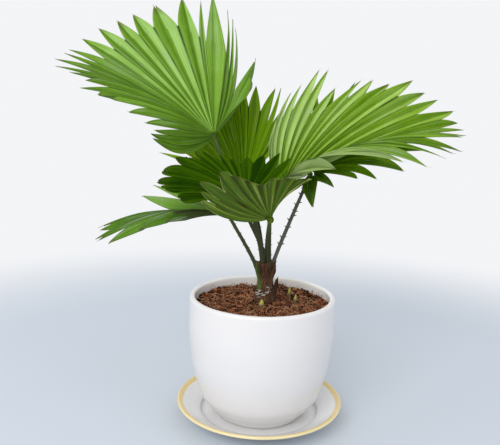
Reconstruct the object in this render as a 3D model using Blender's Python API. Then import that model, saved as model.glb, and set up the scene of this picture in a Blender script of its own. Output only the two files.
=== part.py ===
"""A young fan palm in a glazed pot on a saucer, at life size, in metres with +Z up.

The origin is on the ground under the pot's axis. The saucer stands on its flat foot, the pot rests in
the saucer's well, and soil fills the pot to just under its rim. The trunk, a short stub of old leaf
bases, stands in a plain hole in the soil, and the stalk of each of the seven fronds stands in a socket
in the trunk's top. Each frond is one piece: a thorny stalk and one pleated fan, cut into segments.
"""

from dataclasses import dataclass

import bpy
import numpy as np
from mathutils import Vector, noise

# Pot: its outer wall as (height, radius), its wall and floor, and the hole that drains it.
CLEARANCE = 0.0003
POT_FOOT_HEIGHT = 0.005 + CLEARANCE
POT_RIM_HEIGHT = 0.1328
POT_OUTSIDE = (
    (0.0053, 0.0440),
    (0.0090, 0.0475),
    (0.0120, 0.0500),
    (0.0180, 0.0554),
    (0.0280, 0.0624),
    (0.0450, 0.0678),
    (0.0700, 0.0727),
    (0.1000, 0.0750),
    (0.1290, 0.0748),
)
POT_WALL = 0.0055
POT_FLOOR = 0.006
POT_FLOOR_TOP = POT_FOOT_HEIGHT + POT_FLOOR
POT_LIP_ROUND = 0.0028
POT_LIP_STEPS = 5
POT_DRAIN_RADIUS = 0.007
POT_SIDES = 40
# Where the wall meets the floor inside, it is thicker by this much, up to this height over the floor.
POT_FILLET_DEPTH = 0.006
POT_FILLET_HEIGHT = 0.012
# Heights at which the walls have a ring of points. The soil shares the inner ones.
POT_INNER_HEIGHTS = (POT_FLOOR_TOP + 0.003, POT_FLOOR_TOP + 0.008, 0.028, 0.045, 0.070, 0.100)
POT_OUTER_HEIGHTS = (0.1100, 0.0880, 0.0700, 0.0560, 0.0450, 0.0360, 0.0280, 0.0220, 0.0170, 0.0125, 0.0090)

# Saucer: a flat foot, a well for the pot, and a slope up to a rounded rim.
SAUCER_FOOT_RADIUS = 0.050
SAUCER_WELL_FLOOR = 0.005
SAUCER_WELL_RADIUS = 0.0585
SAUCER_WELL_EDGE_RADIUS = 0.0625
SAUCER_WELL_EDGE_HEIGHT = 0.0095
SAUCER_SOFT_EDGE = 0.001
SAUCER_SLOPE = (0.0740, 0.0138)
SAUCER_RIM_RADIUS = 0.0866
SAUCER_RIM_HEIGHT = 0.0198
SAUCER_RIM_ROUND = 0.0016
SAUCER_RIM_ARC = (125, -55)
SAUCER_RIM_STEPS = 4
SAUCER_UNDERSIDE = ((0.0760, 0.0112), (0.0640, 0.0048), (0.0520, 0.0008))
SAUCER_SIDES = 40

# Soil: it fills the pot to SOIL_HEIGHT, with lumps, and heaps up a little round the trunk.
SOIL_HEIGHT = 0.1225
SOIL_LUMP_HEIGHT = 0.0016
SOIL_LUMP_SIZE = 0.011
# The small lumps on it, over the height and the size of the large ones.
SOIL_SMALL_LUMP_HEIGHT = 0.5
SOIL_SMALL_LUMP_SIZE = 0.45
SOIL_HEAP_HEIGHT = 0.003
SOIL_HEAP_RADIUS = 0.030
SOIL_HEAP_SHAPE = 1.3
SOIL_GAP_TO_POT = 3 * CLEARANCE
SOIL_RINGS = 9
SOIL_SIDES = 40
# How far the shapes that cut the soil's holes stand over it, and a shoot's play in its hole.
SOIL_HOLE_HEADROOM = 0.02
SHOOT_HOLE_GAP = 1.5 * CLEARANCE

# Trunk: (height, radius) of its old leaf bases. Its foot stands in the soil.
TRUNK_X = 0.0028
TRUNK_PROFILE = (
    (0.0800, 0.0060),
    (0.0860, 0.0095),
    (0.0950, 0.0108),
    (0.1290, 0.0108),
    (0.1360, 0.0098),
    (0.1430, 0.0079),
    (0.1500, 0.0070),
    (0.1570, 0.0076),
    (0.1630, 0.0088),
    (0.1670, 0.0098),
)
TRUNK_SIDES = 24
TRUNK_RIDGE_DEPTH = 0.0005
TRUNK_RIDGES = 7
# The ridges wind round by this much, in radians for each metre of height.
TRUNK_RIDGE_TWIST = 90
TRUNK_HOLE_RADIUS = max(radius for _, radius in TRUNK_PROFILE) + TRUNK_RIDGE_DEPTH + CLEARANCE
# Old leaf bases round the trunk: (angle, lowest height, tip's height, tip's distance from the axis).
OLD_BASES = (
    (-25, 0.126, 0.1490, 0.0128),
    (-62, 0.126, 0.1440, 0.0120),
    (-100, 0.127, 0.1400, 0.0116),
    (12, 0.128, 0.1500, 0.0133),
    (60, 0.127, 0.1460, 0.0125),
    (115, 0.127, 0.1440, 0.0118),
    (165, 0.128, 0.1400, 0.0116),
    (215, 0.127, 0.1420, 0.0112),
)
OLD_BASE_WIDTH = 0.0075
OLD_BASE_THICKNESS = 0.0022
# Over the thickness: how deep the root is sunk, how much is lost to the tip, how far the tip stands out.
OLD_BASE_SUNK = 0.8
OLD_BASE_THINNING = 0.6
OLD_BASE_TIP_OUT = 0.3
# The width of the ridge on its outer side, over the base's own.
OLD_BASE_RIDGE_SHARE = 0.6
# (share of the way to the tip, share of the width)
OLD_BASE_OUTLINE = ((0.0, 1.0), (0.5, 0.85), (0.8, 0.5))

# New shoots that come up through the soil: (x, y, tip's height, radius at the soil, lean to +X).
SHOOTS = {
    "shoot_front": (-0.0010, -0.0200, 0.1335, 0.0030, 0.0004),
    "shoot_right": (0.0283, 0.0120, 0.1390, 0.0019, 0.0010),
    "shoot_far_right": (0.0340, -0.0020, 0.1345, 0.0019, 0.0008),
}
SHOOT_DEPTH = 0.112
SHOOT_STRAIGHT_TO = SOIL_HEIGHT + 0.0015
SHOOT_NECK = 0.72
SHOOT_SIDES = 8

# Fronds.
BLADE_THICKNESS = 0.0009
BLADE_START = 0.0038
PLEAT_SLOPE = 0.70
JOINED_STRIPS = (0.0, 0.28, 0.62, 1.0)
FREE_STRIPS = (0.35, 0.70)
HUB_RADIUS = 0.0048
HUB_HEIGHT = 0.0030
HUB_RINGS = 4
HUB_SIDES = 8
STALK_SIDES = 8
STALK_RINGS = 11
STALK_FLATNESS = 0.82
# A stalk's radius at its foot and at its hub, over its middle radius.
STALK_TAPER = (1.12, 0.88)
THORN_LENGTH = 0.0022
THORN_WIDTH = 0.0013
THORN_ROOT_DEPTH = 0.0007
# A thorn's half height over its half width, and how far its tip leans on to the hub, over its length.
THORN_HEIGHT_SHARE = 0.6
THORN_LEAN = 0.5
# Where the thorns start and end along a stalk, and how far the right side's are ahead of the left's.
THORN_SPAN = (0.34, 0.93)
THORN_STAGGER = 0.02


@dataclass
class Frond:
    """One frond: the route of its stalk, and how far the segments of its fan reach."""

    name: str
    # The stalk's curve: its foot in the socket, the place it first heads for, the place from which it
    # runs straight to the hub, and the hub, where the stalk ends and the segments start.
    foot: tuple
    rise: tuple
    lead: tuple
    hub: tuple
    stalk_radius: float
    thorns: int
    segments: int
    # (number of a segment, where its tip lies from the hub); a half number is the joint to the next
    tips: tuple
    # (place across the fan from 0 to 1, share of a segment's length that is joined to the next)
    joined: tuple
    # (place across the fan, how far a segment's middle bows out, over its length)
    arch: tuple
    # The way that the segments' middles bow.
    bow: tuple
    # How full a segment stays towards its tip: 0 is a straight taper.
    fullness: float = 0.5
    # (place across the fan, power of the taper: under 1 gives rounded tips)
    taper_power: tuple = ((0, 1), (1, 1))


FRONDS = (
    Frond(
        name="frond_upper_left",
        foot=(0.0060, 0.0050, 0.160),
        rise=(0.0060, 0.0046, 0.173),
        lead=(-0.034, 0.010, 0.236),
        hub=(-0.0530, 0.0140, 0.2930),
        stalk_radius=0.0019,
        thorns=7,
        segments=27,
        tips=(
            (0, (-0.056, -0.040, -0.002)),
            (1, (-0.059, -0.038, 0.002)),
            (2, (-0.056, -0.034, 0.005)),
            (3, (-0.066, -0.030, 0.011)),
            (4, (-0.082, -0.025, 0.022)),
            (5, (-0.098, -0.020, 0.033)),
            (6, (-0.114, -0.014, 0.037)),
            (7, (-0.133, -0.009, 0.043)),
            (8, (-0.129, -0.004, 0.052)),
            (9, (-0.145, 0.001, 0.058)),
            (10, (-0.162, 0.006, 0.064)),
            (11, (-0.163, 0.010, 0.072)),
            (12, (-0.154, 0.014, 0.078)),
            (13, (-0.149, 0.017, 0.082)),
            (14, (-0.138, 0.021, 0.094)),
            (15, (-0.122, 0.026, 0.104)),
            (16, (-0.104, 0.031, 0.112)),
            (17, (-0.089, 0.036, 0.120)),
            (18, (-0.067, 0.042, 0.130)),
            (19, (-0.039, 0.047, 0.140)),
            (20, (-0.020, 0.048, 0.136)),
            (20.5, (-0.018, 0.048, 0.131)),
            (21, (-0.007, 0.047, 0.144)),
            (21.5, (0.009, 0.044, 0.130)),
            (22, (0.010, 0.042, 0.126)),
            (23, (0.014, 0.038, 0.117)),
            (24, (0.018, 0.032, 0.108)),
            (25, (0.039, 0.010, 0.076)),
            (26, (0.037, 0.001, 0.052)),
        ),
        joined=(
            (0, 0.9), (0.037, 0.9), (0.074, 0.75), (0.111, 0.57), (0.148, 0.71), (0.185, 0.74),
            (0.222, 0.91), (0.259, 0.88), (0.37, 0.74), (0.444, 0.8), (0.519, 0.81), (0.556, 0.81),
            (0.63, 0.84), (0.667, 0.82), (0.704, 0.79), (0.741, 0.7), (0.778, 0.66), (0.815, 0.62),
            (0.852, 0.56), (0.889, 0.55), (0.926, 0.47), (0.963, 0.93), (1, 0.93),
        ),
        arch=(
            (0, -0.24), (0.04, -0.14), (0.08, -0.03), (0.15, 0.05), (0.3, 0.09), (0.45, 0.06),
            (0.6, 0.03), (0.78, 0), (0.85, -0.14), (0.9, -0.22), (0.94, -0.1), (1, 0.05),
        ),
        bow=(-0.2, -0.3, 1),
    ),
    Frond(
        name="frond_right",
        foot=(0.0028, 0.0, 0.160),
        rise=(0.0028, 0.001, 0.190),
        lead=(0.0035, 0.003, 0.222),
        hub=(0.0158, 0.0060, 0.2407),
        stalk_radius=0.0019,
        thorns=4,
        segments=24,
        tips=(
            (0, (-0.002, 0.008, 0.078)),
            (1, (0.008, 0.016, 0.098)),
            (2, (0.020, 0.024, 0.108)),
            (3, (0.037, 0.031, 0.122)),
            (4, (0.047, 0.036, 0.122)),
            (5, (0.055, 0.040, 0.104)),
            (6, (0.083, 0.045, 0.113)),
            (7, (0.094, 0.046, 0.113)),
            (8, (0.112, 0.046, 0.109)),
            (9, (0.135, 0.044, 0.113)),
            (10, (0.149, 0.040, 0.101)),
            (11, (0.161, 0.035, 0.093)),
            (12, (0.176, 0.029, 0.083)),
            (13, (0.180, 0.022, 0.071)),
            (14, (0.184, 0.015, 0.064)),
            (15, (0.184, 0.008, 0.059)),
            (16, (0.179, 0.002, 0.058)),
            (17, (0.178, -0.005, 0.044)),
            (18, (0.170, -0.011, 0.042)),
            (19, (0.159, -0.016, 0.037)),
            (20, (0.141, -0.021, 0.028)),
            (21, (0.117, -0.023, 0.032)),
            (22, (0.051, -0.026, 0.025)),
            (23, (0.023, -0.022, 0.017)),
        ),
        joined=(
            (0, 0.7), (0.042, 0.7), (0.125, 0.64), (0.167, 0.74), (0.208, 0.64), (0.25, 0.71),
            (0.333, 0.82), (0.375, 0.84), (0.417, 0.84), (0.458, 0.86), (0.5, 0.84), (0.542, 0.88),
            (0.583, 0.88), (0.708, 0.82), (0.75, 0.76), (0.792, 0.66), (0.833, 0.73), (0.875, 0.5),
            (0.917, 0.52), (0.963, 0.8), (1, 0.8),
        ),
        arch=(
            (0, 0.27), (0.1, 0.15), (0.2, 0.06), (0.5, 0.05), (0.65, 0.12), (0.8, 0.22),
            (0.88, 0.27), (1, 0.16),
        ),
        bow=(-0.8, -0.4, 0.9),
        taper_power=((0, 1), (0.66, 1), (0.72, 1.2), (0.86, 1.4), (0.9, 1), (1, 1)),
    ),
    Frond(
        name="frond_right_behind",
        foot=(0.0091, 0.0, 0.160),
        rise=(0.0091, 0.0, 0.170),
        lead=(0.036, 0.020, 0.228),
        hub=(0.0470, 0.0340, 0.2545),
        stalk_radius=0.0019,
        thorns=9,
        segments=15,
        tips=(
            (0, (-0.013, 0.028, 0.072)),
            (2, (0.028, 0.046, 0.091)),
            (4, (0.069, 0.050, 0.100)),
            (6, (0.112, 0.042, 0.080)),
            (8, (0.134, 0.026, 0.048)),
            (9, (0.123, 0.016, 0.027)),
            (10, (0.102, 0.008, 0.004)),
            (11, (0.073, 0.004, -0.005)),
            (12, (0.051, 0.002, -0.004)),
            (13, (0.025, -0.004, -0.013)),
            (14, (0.003, -0.017, -0.034)),
        ),
        joined=(
            (0, 0.6), (0.067, 0.6), (0.5, 0.7), (0.667, 0.6), (0.733, 0.55), (0.8, 0.62),
            (0.867, 0.35), (0.933, 0.42), (1, 0.42),
        ),
        arch=((0, 0.03), (0.6, 0.08), (0.75, 0.16), (0.87, 0.12), (0.93, 0.25), (1, 0.42)),
        bow=(-0.3, -0.2, 1),
    ),
    Frond(
        name="frond_front",
        foot=(0.00595, -0.00545, 0.160),
        rise=(0.00595, -0.00545, 0.172),
        lead=(0.0038, -0.036, 0.200),
        hub=(0.0038, -0.0500, 0.2207),
        stalk_radius=0.0020,
        thorns=4,
        segments=10,
        tips=(
            (0, (-0.063, -0.016, 0.017)),
            (1, (-0.064, -0.010, 0.026)),
            (2, (-0.065, -0.004, 0.033)),
            (3, (-0.048, 0.004, 0.042)),
            (4, (-0.032, 0.009, 0.038)),
            (5, (-0.020, 0.014, 0.033)),
            (6, (-0.007, 0.018, 0.029)),
            (7, (0.001, 0.019, 0.036)),
            (8, (0.018, 0.014, 0.037)),
            (9, (0.034, 0.008, 0.038)),
        ),
        joined=(
            (0, 0.78), (0.1, 0.78), (0.2, 0.73), (0.3, 0.67), (0.4, 0.96), (0.6, 0.96),
            (0.7, 0.93), (0.8, 0.96), (0.95, 0.96), (1, 0.96),
        ),
        arch=((0, 0.13), (0.2, 0.1), (0.6, 0.05), (0.85, -0.02), (1, -0.17)),
        bow=(0.1, -0.8, -1),
        fullness=1.0,
        taper_power=((0, 0.7), (1, 0.7)),
    ),
    Frond(
        name="frond_middle",
        foot=(-0.00035, -0.00545, 0.160),
        rise=(-0.00035, -0.00545, 0.173),
        lead=(-0.009, -0.017, 0.215),
        hub=(-0.0180, -0.0240, 0.2350),
        stalk_radius=0.0023,
        thorns=4,
        segments=14,
        tips=(
            (0, (-0.066, 0.004, -0.002)),
            (1, (-0.082, 0.004, 0.007)),
            (2, (-0.088, 0.006, 0.014)),
            (3, (-0.083, 0.010, 0.024)),
            (4, (-0.072, 0.016, 0.037)),
            (5, (-0.060, 0.020, 0.037)),
            (6, (-0.054, 0.024, 0.042)),
            (7, (-0.041, 0.026, 0.041)),
            (8, (-0.028, 0.028, 0.040)),
            (9, (-0.015, 0.028, 0.035)),
            (10, (-0.001, 0.024, 0.039)),
            (11, (0.015, 0.018, 0.042)),
            (12, (0.030, 0.010, 0.045)),
            (13, (0.041, 0.000, 0.042)),
        ),
        joined=(
            (0, 0.9), (0.071, 0.9), (0.143, 0.87), (0.214, 0.84), (0.286, 0.8), (0.357, 0.96),
            (0.429, 0.78), (0.5, 0.95), (0.571, 0.74), (0.643, 0.88), (0.714, 0.84), (0.786, 0.8),
            (0.857, 0.75), (0.929, 0.7), (1, 0.75),
        ),
        arch=((0, 0.04), (0.5, 0.1), (0.8, 0), (1, -0.1)),
        bow=(-0.3, -0.3, 0.9),
        fullness=0.55,
        taper_power=(
            (0, 0.4), (0.24, 0.4), (0.3, 0.8), (0.42, 0.8), (0.46, 0.5), (0.62, 0.5),
            (0.7, 1), (1, 1),
        ),
    ),
    Frond(
        name="frond_lower_left",
        foot=(-0.0022, 0.0, 0.1470),
        rise=(-0.0050, 0.0, 0.1650),
        lead=(-0.0265, 0.004, 0.195),
        hub=(-0.0363, 0.0060, 0.2125),
        stalk_radius=0.0019,
        thorns=6,
        segments=9,
        tips=(
            (0, (-0.084, 0.038, 0.025)),
            (1, (-0.096, 0.030, 0.013)),
            (2, (-0.135, 0.018, -0.019)),
            (3, (-0.134, 0.010, -0.021)),
            (4, (-0.137, 0.002, -0.029)),
            (5, (-0.132, -0.006, -0.028)),
            (6, (-0.121, -0.016, -0.029)),
            (7, (-0.086, -0.028, -0.011)),
            (8, (-0.060, -0.036, -0.001)),
        ),
        joined=(
            (0, 0.59), (0.111, 0.59), (0.222, 0.51), (0.333, 0.85), (0.444, 0.87), (0.556, 0.88),
            (0.667, 0.78), (0.778, 0.8), (0.889, 0.85), (1, 0.85),
        ),
        arch=((0, 0), (0.16, 0.04), (0.28, 0.08), (0.5, 0.11), (0.75, 0.14), (1, 0.05)),
        bow=(0, -0.2, 1),
    ),
    Frond(
        name="frond_back",
        foot=(-0.0006, 0.0060, 0.160),
        rise=(-0.0010, 0.0070, 0.173),
        lead=(-0.002, 0.024, 0.212),
        hub=(-0.0232, 0.0400, 0.2370),
        stalk_radius=0.0019,
        thorns=4,
        segments=15,
        tips=(
            (0, (-0.089, 0.006, 0.036)),
            (1, (-0.083, 0.014, 0.046)),
            (2, (-0.066, 0.022, 0.050)),
            (5, (-0.044, 0.036, 0.078)),
            (7, (-0.022, 0.042, 0.096)),
            (9, (-0.003, 0.045, 0.107)),
            (10, (0.011, 0.043, 0.109)),
            (11, (0.032, 0.034, 0.106)),
            (12, (0.040, 0.027, 0.105)),
            (13, (0.043, 0.020, 0.087)),
            (14, (0.038, 0.014, 0.060)),
        ),
        joined=(
            (0, 0.55), (0.067, 0.55), (0.133, 0.7), (0.233, 0.82), (0.367, 0.84), (0.667, 0.82),
            (0.733, 0.72), (0.8, 0.67), (0.867, 0.66), (0.967, 0.8), (1, 0.8),
        ),
        arch=((0, 0.03), (0.8, 0.03), (1, 0.12)),
        bow=(0.5, -0.4, 0.8),
    ),
)
# The widened base of the lower left frond's stalk clasps the trunk: (width, depth) over the stalk's.
CLASPING_FROND = "frond_lower_left"
CLASP_WIDTH = 1.9
CLASP_DEPTH = 0.9
CLASP_LENGTH_SHARE = 0.3
CLASP_EASE = 0.7


def clear_scene():
    """Removes whatever the open scene holds."""
    for leftover in list(bpy.data.objects):
        bpy.data.objects.remove(leftover, do_unlink=True)


def finish(name, colour, roughness, metallic=0.0):
    """A Principled material of one colour."""
    material = bpy.data.materials.new(name)
    material.use_nodes = True
    shader = material.node_tree.nodes["Principled BSDF"]
    shader.inputs["Base Color"].default_value = (*colour, 1.0)
    shader.inputs["Roughness"].default_value = roughness
    shader.inputs["Metallic"].default_value = metallic
    return material


def new_object(name, points, faces, material=None):
    """An object in the scene from points and faces."""
    mesh = bpy.data.meshes.new(name)
    mesh.from_pydata([tuple(map(float, p)) for p in points], [], [tuple(map(int, f)) for f in faces])
    mesh.validate()
    if material:
        mesh.materials.append(material)
    made = bpy.data.objects.new(name, mesh)
    bpy.context.scene.collection.objects.link(made)
    return made


def applied(made):
    """Makes the object's modifiers part of its mesh."""
    graph = bpy.context.evaluated_depsgraph_get()
    graph.update()
    mesh = bpy.data.meshes.new_from_object(made.evaluated_get(graph))
    made.modifiers.clear()
    made.data = mesh
    return made


def united(body, others):
    """Joins the others into the body with one Boolean union, and removes them."""
    group = bpy.data.collections.new(body.name + "_pieces")
    for other in others:
        group.objects.link(other)
    union = body.modifiers.new("Union", "BOOLEAN")
    union.operation = "UNION"
    union.operand_type = "COLLECTION"
    union.collection = group
    union.solver = "MANIFOLD"
    applied(body)
    for other in others:
        bpy.data.objects.remove(other, do_unlink=True)
    bpy.data.collections.remove(group)
    return body


def cut_out(body, cutters):
    """Cuts each cutter's shape out of the body, and leaves the cutters hidden."""
    for cutter in cutters:
        cutter.hide_render = True
        cutter.display_type = "WIRE"
        cut = body.modifiers.new("Cut " + cutter.name, "BOOLEAN")
        cut.operation = "DIFFERENCE"
        cut.object = cutter


def smooth_between(places, values, at):
    """A smooth curve through the values at rising places, with no overshoot, read at other places.

    Each stretch is a cubic whose end slopes are the harmonic means of the slopes on either side, and
    past the first and the last place the curve runs on straight.
    """
    x = np.asarray(places, float)
    y = np.asarray(values, float).reshape(len(x), -1)
    at = np.asarray(at, float)
    step = np.diff(x)[:, None]
    rise = np.diff(y, axis=0) / step
    before, after = rise[:-1], rise[1:]
    heavy, light = 2 * step[1:] + step[:-1], step[1:] + 2 * step[:-1]
    alike = before * after > 0
    safe_before, safe_after = np.where(alike, before, 1), np.where(alike, after, 1)
    mean = (heavy + light) / (heavy / safe_before + light / safe_after)
    slope = np.vstack([rise[:1], np.where(alike, mean, 0), rise[-1:]])
    flat = at.reshape(-1)
    inside = np.clip(flat, x[0], x[-1])
    i = np.clip(np.searchsorted(x, inside, side="right") - 1, 0, len(x) - 2)
    t = ((inside - x[i]) / np.diff(x)[i])[:, None]
    width = step[i]
    curve = (
        y[i] * (1 + 2 * t) * (1 - t) ** 2
        + width * slope[i] * t * (1 - t) ** 2
        + y[i + 1] * t**2 * (3 - 2 * t)
        + width * slope[i + 1] * t**2 * (t - 1)
    )
    beyond = (flat - inside)[:, None] * np.where(flat[:, None] < x[0], slope[0], slope[-1])
    return (curve + beyond).reshape(*at.shape, y.shape[1])


def turned(name, profile, sides, material):
    """A solid of revolution. The profile runs from the inside over the top, down and back under."""
    points = [(radius, 0.0, height) for radius, height in profile]
    ends_on_axis = profile[0][0] == 0
    last = len(points) - 1
    edges = [(i, i + 1) for i in range(last)]
    if not ends_on_axis:
        edges.append((last, 0))
    mesh = bpy.data.meshes.new(name)
    mesh.from_pydata(points, edges, [])
    mesh.materials.append(material)
    made = bpy.data.objects.new(name, mesh)
    bpy.context.scene.collection.objects.link(made)
    screw = made.modifiers.new("Turn", "SCREW")
    screw.steps = sides
    screw.render_steps = sides
    screw.use_merge_vertices = True
    screw.merge_threshold = 0.00001
    screw.use_smooth_shade = True
    return made


def arc(centre, radius, start, end, steps):
    """Points of an arc in the profile's plane, by angles in degrees."""
    angles = np.radians(np.linspace(start, end, steps + 1))
    return [(centre[0] + radius * np.cos(a), centre[1] + radius * np.sin(a)) for a in angles]


def pot_outside(height):
    """The pot's outer radius at a height."""
    heights, radii = zip(*POT_OUTSIDE)
    return smooth_between(heights, radii, height)[..., 0]


def pot_inside(height):
    """The pot's inner radius at a height: the wall grows thicker where it turns in to the floor."""
    turn = np.clip((height - POT_FLOOR_TOP) / POT_FILLET_HEIGHT, 0, 1)
    return pot_outside(height) - POT_WALL - POT_FILLET_DEPTH * (1 - turn) ** 2


def make_pot():
    """The glazed pot, with a rounded lip and a hole in its floor."""
    white = finish("white_glaze", (0.80, 0.80, 0.81), 0.12)
    lip_base = POT_RIM_HEIGHT - POT_LIP_ROUND
    inside = [(pot_inside(h), h) for h in (POT_FLOOR_TOP, *POT_INNER_HEIGHTS)]
    lip_centre = (pot_inside(lip_base) + POT_LIP_ROUND, lip_base)
    lip = arc(lip_centre, POT_LIP_ROUND, 180, 0, POT_LIP_STEPS)
    outside = [(pot_outside(h), h) for h in (lip_base, *POT_OUTER_HEIGHTS, POT_FOOT_HEIGHT)]
    profile = [(POT_DRAIN_RADIUS, POT_FLOOR_TOP)] + inside + lip[:-1] + outside
    profile.append((POT_DRAIN_RADIUS, POT_FOOT_HEIGHT))
    return turned("pot", profile, POT_SIDES, white)


def make_saucer():
    """The saucer: a plate with a well for the pot and a rounded rim."""
    white = finish("white_glaze_saucer", (0.82, 0.82, 0.80), 0.12)
    rim_centre = (SAUCER_RIM_RADIUS - SAUCER_RIM_ROUND, SAUCER_RIM_HEIGHT - SAUCER_RIM_ROUND)
    profile = [
        (0.0, SAUCER_WELL_FLOOR),
        (SAUCER_WELL_RADIUS, SAUCER_WELL_FLOOR),
        (SAUCER_WELL_EDGE_RADIUS - 1.5 * SAUCER_SOFT_EDGE, SAUCER_WELL_FLOOR + SAUCER_SOFT_EDGE),
        (SAUCER_WELL_EDGE_RADIUS - 0.5 * SAUCER_SOFT_EDGE, SAUCER_WELL_EDGE_HEIGHT - SAUCER_SOFT_EDGE),
        (SAUCER_WELL_EDGE_RADIUS + SAUCER_SOFT_EDGE, SAUCER_WELL_EDGE_HEIGHT),
        SAUCER_SLOPE,
    ]
    profile += arc(rim_centre, SAUCER_RIM_ROUND, *SAUCER_RIM_ARC, SAUCER_RIM_STEPS)
    profile += [*SAUCER_UNDERSIDE, (SAUCER_FOOT_RADIUS, 0.0), (0.0, 0.0)]
    return turned("saucer", profile, SAUCER_SIDES, white)


def soil_top(x, y):
    """The soil's height over a place: lumps on a level, and a heap round the trunk."""
    lump = noise.noise(Vector((x, y, 0.0)) / SOIL_LUMP_SIZE)
    small = noise.noise(Vector((x, y, 0.0)) / (SOIL_SMALL_LUMP_SIZE * SOIL_LUMP_SIZE))
    near = max(0.0, 1 - np.hypot(x - TRUNK_X, y) / SOIL_HEAP_RADIUS)
    lumps = SOIL_LUMP_HEIGHT * (lump + SOIL_SMALL_LUMP_HEIGHT * small)
    return SOIL_HEIGHT + lumps + SOIL_HEAP_HEIGHT * near**SOIL_HEAP_SHAPE


def make_soil(shoots):
    """The soil that fills the pot, with plain holes for the trunk and the shoots."""
    brown = finish("coir_soil", (0.16, 0.065, 0.035), 0.95)
    angles = 2 * np.pi * np.arange(SOIL_SIDES) / SOIL_SIDES
    # The soil's flat sides touch a round wall at their middles, so they are drawn in a little.
    flat_sides = np.cos(np.pi / SOIL_SIDES)
    edge = (pot_inside(SOIL_HEIGHT) - SOIL_GAP_TO_POT) * flat_sides
    points = []
    for ring in range(1, SOIL_RINGS + 1):
        radius = edge * ring / SOIL_RINGS
        places = [(radius * np.cos(a), radius * np.sin(a)) for a in angles]
        points += [(x, y, soil_top(x, y)) for x, y in places]
    for height in (*reversed(POT_INNER_HEIGHTS), POT_FLOOR_TOP + CLEARANCE):
        radius = (pot_inside(height) - SOIL_GAP_TO_POT) * flat_sides
        points += [(radius * np.cos(a), radius * np.sin(a), height) for a in angles]
    levels = len(points) // SOIL_SIDES
    faces = []
    for level in range(levels - 1):
        for side in range(SOIL_SIDES):
            near, far = level * SOIL_SIDES + side, level * SOIL_SIDES + (side + 1) % SOIL_SIDES
            faces.append((near, near + SOIL_SIDES, far + SOIL_SIDES, far))
    centre = len(points)
    points.append((0, 0, soil_top(0, 0)))
    faces += [(centre, side, (side + 1) % SOIL_SIDES) for side in range(SOIL_SIDES)]
    bottom = (levels - 1) * SOIL_SIDES
    faces.append([bottom + side for side in reversed(range(SOIL_SIDES))])
    soil = new_object("soil", points, faces, brown)
    hole_floor = TRUNK_PROFILE[0][0] - CLEARANCE
    hole_top = SOIL_HEIGHT + SOIL_HOLE_HEADROOM
    holes = [round_bar("trunk_hole", TRUNK_X, 0, hole_floor, hole_top, TRUNK_HOLE_RADIUS, TRUNK_SIDES)]
    for name, (x, y, _, radius, _) in shoots.items():
        wide = radius + SHOOT_HOLE_GAP
        holes.append(round_bar(name + "_hole", x, y, SHOOT_DEPTH - CLEARANCE, hole_top, wide, SHOOT_SIDES))
    cut_out(soil, holes)
    return soil


def round_bar(name, x, y, bottom, top, radius, sides):
    """An upright bar with flat ends."""
    angles = 2 * np.pi * np.arange(sides) / sides
    ring = [(x + radius * np.cos(a), y + radius * np.sin(a)) for a in angles]
    points = [(*p, bottom) for p in ring] + [(*p, top) for p in ring]
    faces = [(i, (i + 1) % sides, sides + (i + 1) % sides, sides + i) for i in range(sides)]
    faces += [list(reversed(range(sides))), list(range(sides, 2 * sides))]
    return new_object(name, points, faces)


def make_trunk():
    """The trunk: a ridged stub, and the torn ends of old leaf bases round it."""
    bark = finish("old_leaf_bases", (0.17, 0.085, 0.045), 0.9)
    angles = 2 * np.pi * np.arange(TRUNK_SIDES) / TRUNK_SIDES
    points = []
    for height, radius in TRUNK_PROFILE:
        ridge = TRUNK_RIDGE_DEPTH * np.cos(TRUNK_RIDGES * angles + TRUNK_RIDGE_TWIST * height)
        round_points = (radius + ridge)[:, None] * np.stack([np.cos(angles), np.sin(angles)], 1)
        points += [(TRUNK_X + p[0], p[1], height) for p in round_points]
    last = (len(TRUNK_PROFILE) - 1) * TRUNK_SIDES
    faces = [list(reversed(range(TRUNK_SIDES))), [last + side for side in range(TRUNK_SIDES)]]
    for level in range(len(TRUNK_PROFILE) - 1):
        for side in range(TRUNK_SIDES):
            near, far = level * TRUNK_SIDES + side, level * TRUNK_SIDES + (side + 1) % TRUNK_SIDES
            faces.append((near, far, far + TRUNK_SIDES, near + TRUNK_SIDES))
    trunk = new_object("trunk", points, faces, bark)
    bases = [old_base(i, *place) for i, place in enumerate(OLD_BASES)]
    united(trunk, bases)
    sockets = [stalk(frond, CLEARANCE, frond.name + "_socket") for frond in FRONDS]
    cut_out(trunk, sockets)
    return trunk


def old_base(number, angle, low, high, reach):
    """One old leaf base: a flat wedge with its root in the trunk and a torn tip leaning out."""
    turn = np.radians(angle)
    out = np.array([np.cos(turn), np.sin(turn), 0])
    side = np.array([-np.sin(turn), np.cos(turn), 0])
    heights, radii = zip(*TRUNK_PROFILE)
    rings = []
    for share, width in OLD_BASE_OUTLINE:
        height = low + share * (high - low)
        hold = smooth_between(heights, radii, height)[..., 0]
        away = (1 - share) * (hold - OLD_BASE_SUNK * OLD_BASE_THICKNESS) + share * reach
        middle = np.array([TRUNK_X, 0, height]) + away * out
        half = 0.5 * width * OLD_BASE_WIDTH * side
        thickness = OLD_BASE_THICKNESS * (1 - OLD_BASE_THINNING * share) * out
        ridge = OLD_BASE_RIDGE_SHARE * half
        outer = middle + thickness
        rings.append([middle - half, middle + half, outer + ridge, outer - ridge])
    tip = np.array([TRUNK_X, 0, high]) + (reach + OLD_BASE_TIP_OUT * OLD_BASE_THICKNESS) * out
    points = [p for ring in rings for p in ring] + [tip]
    faces = [(3, 2, 1, 0)]
    for level in (0, 4):
        faces += [(level + i, level + (i + 1) % 4, level + 4 + (i + 1) % 4, level + 4 + i) for i in range(4)]
    faces += [(8 + i, 8 + (i + 1) % 4, 12) for i in range(4)]
    made = new_object(f"old_base_{number}", points, faces)
    return outward(made)


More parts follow.
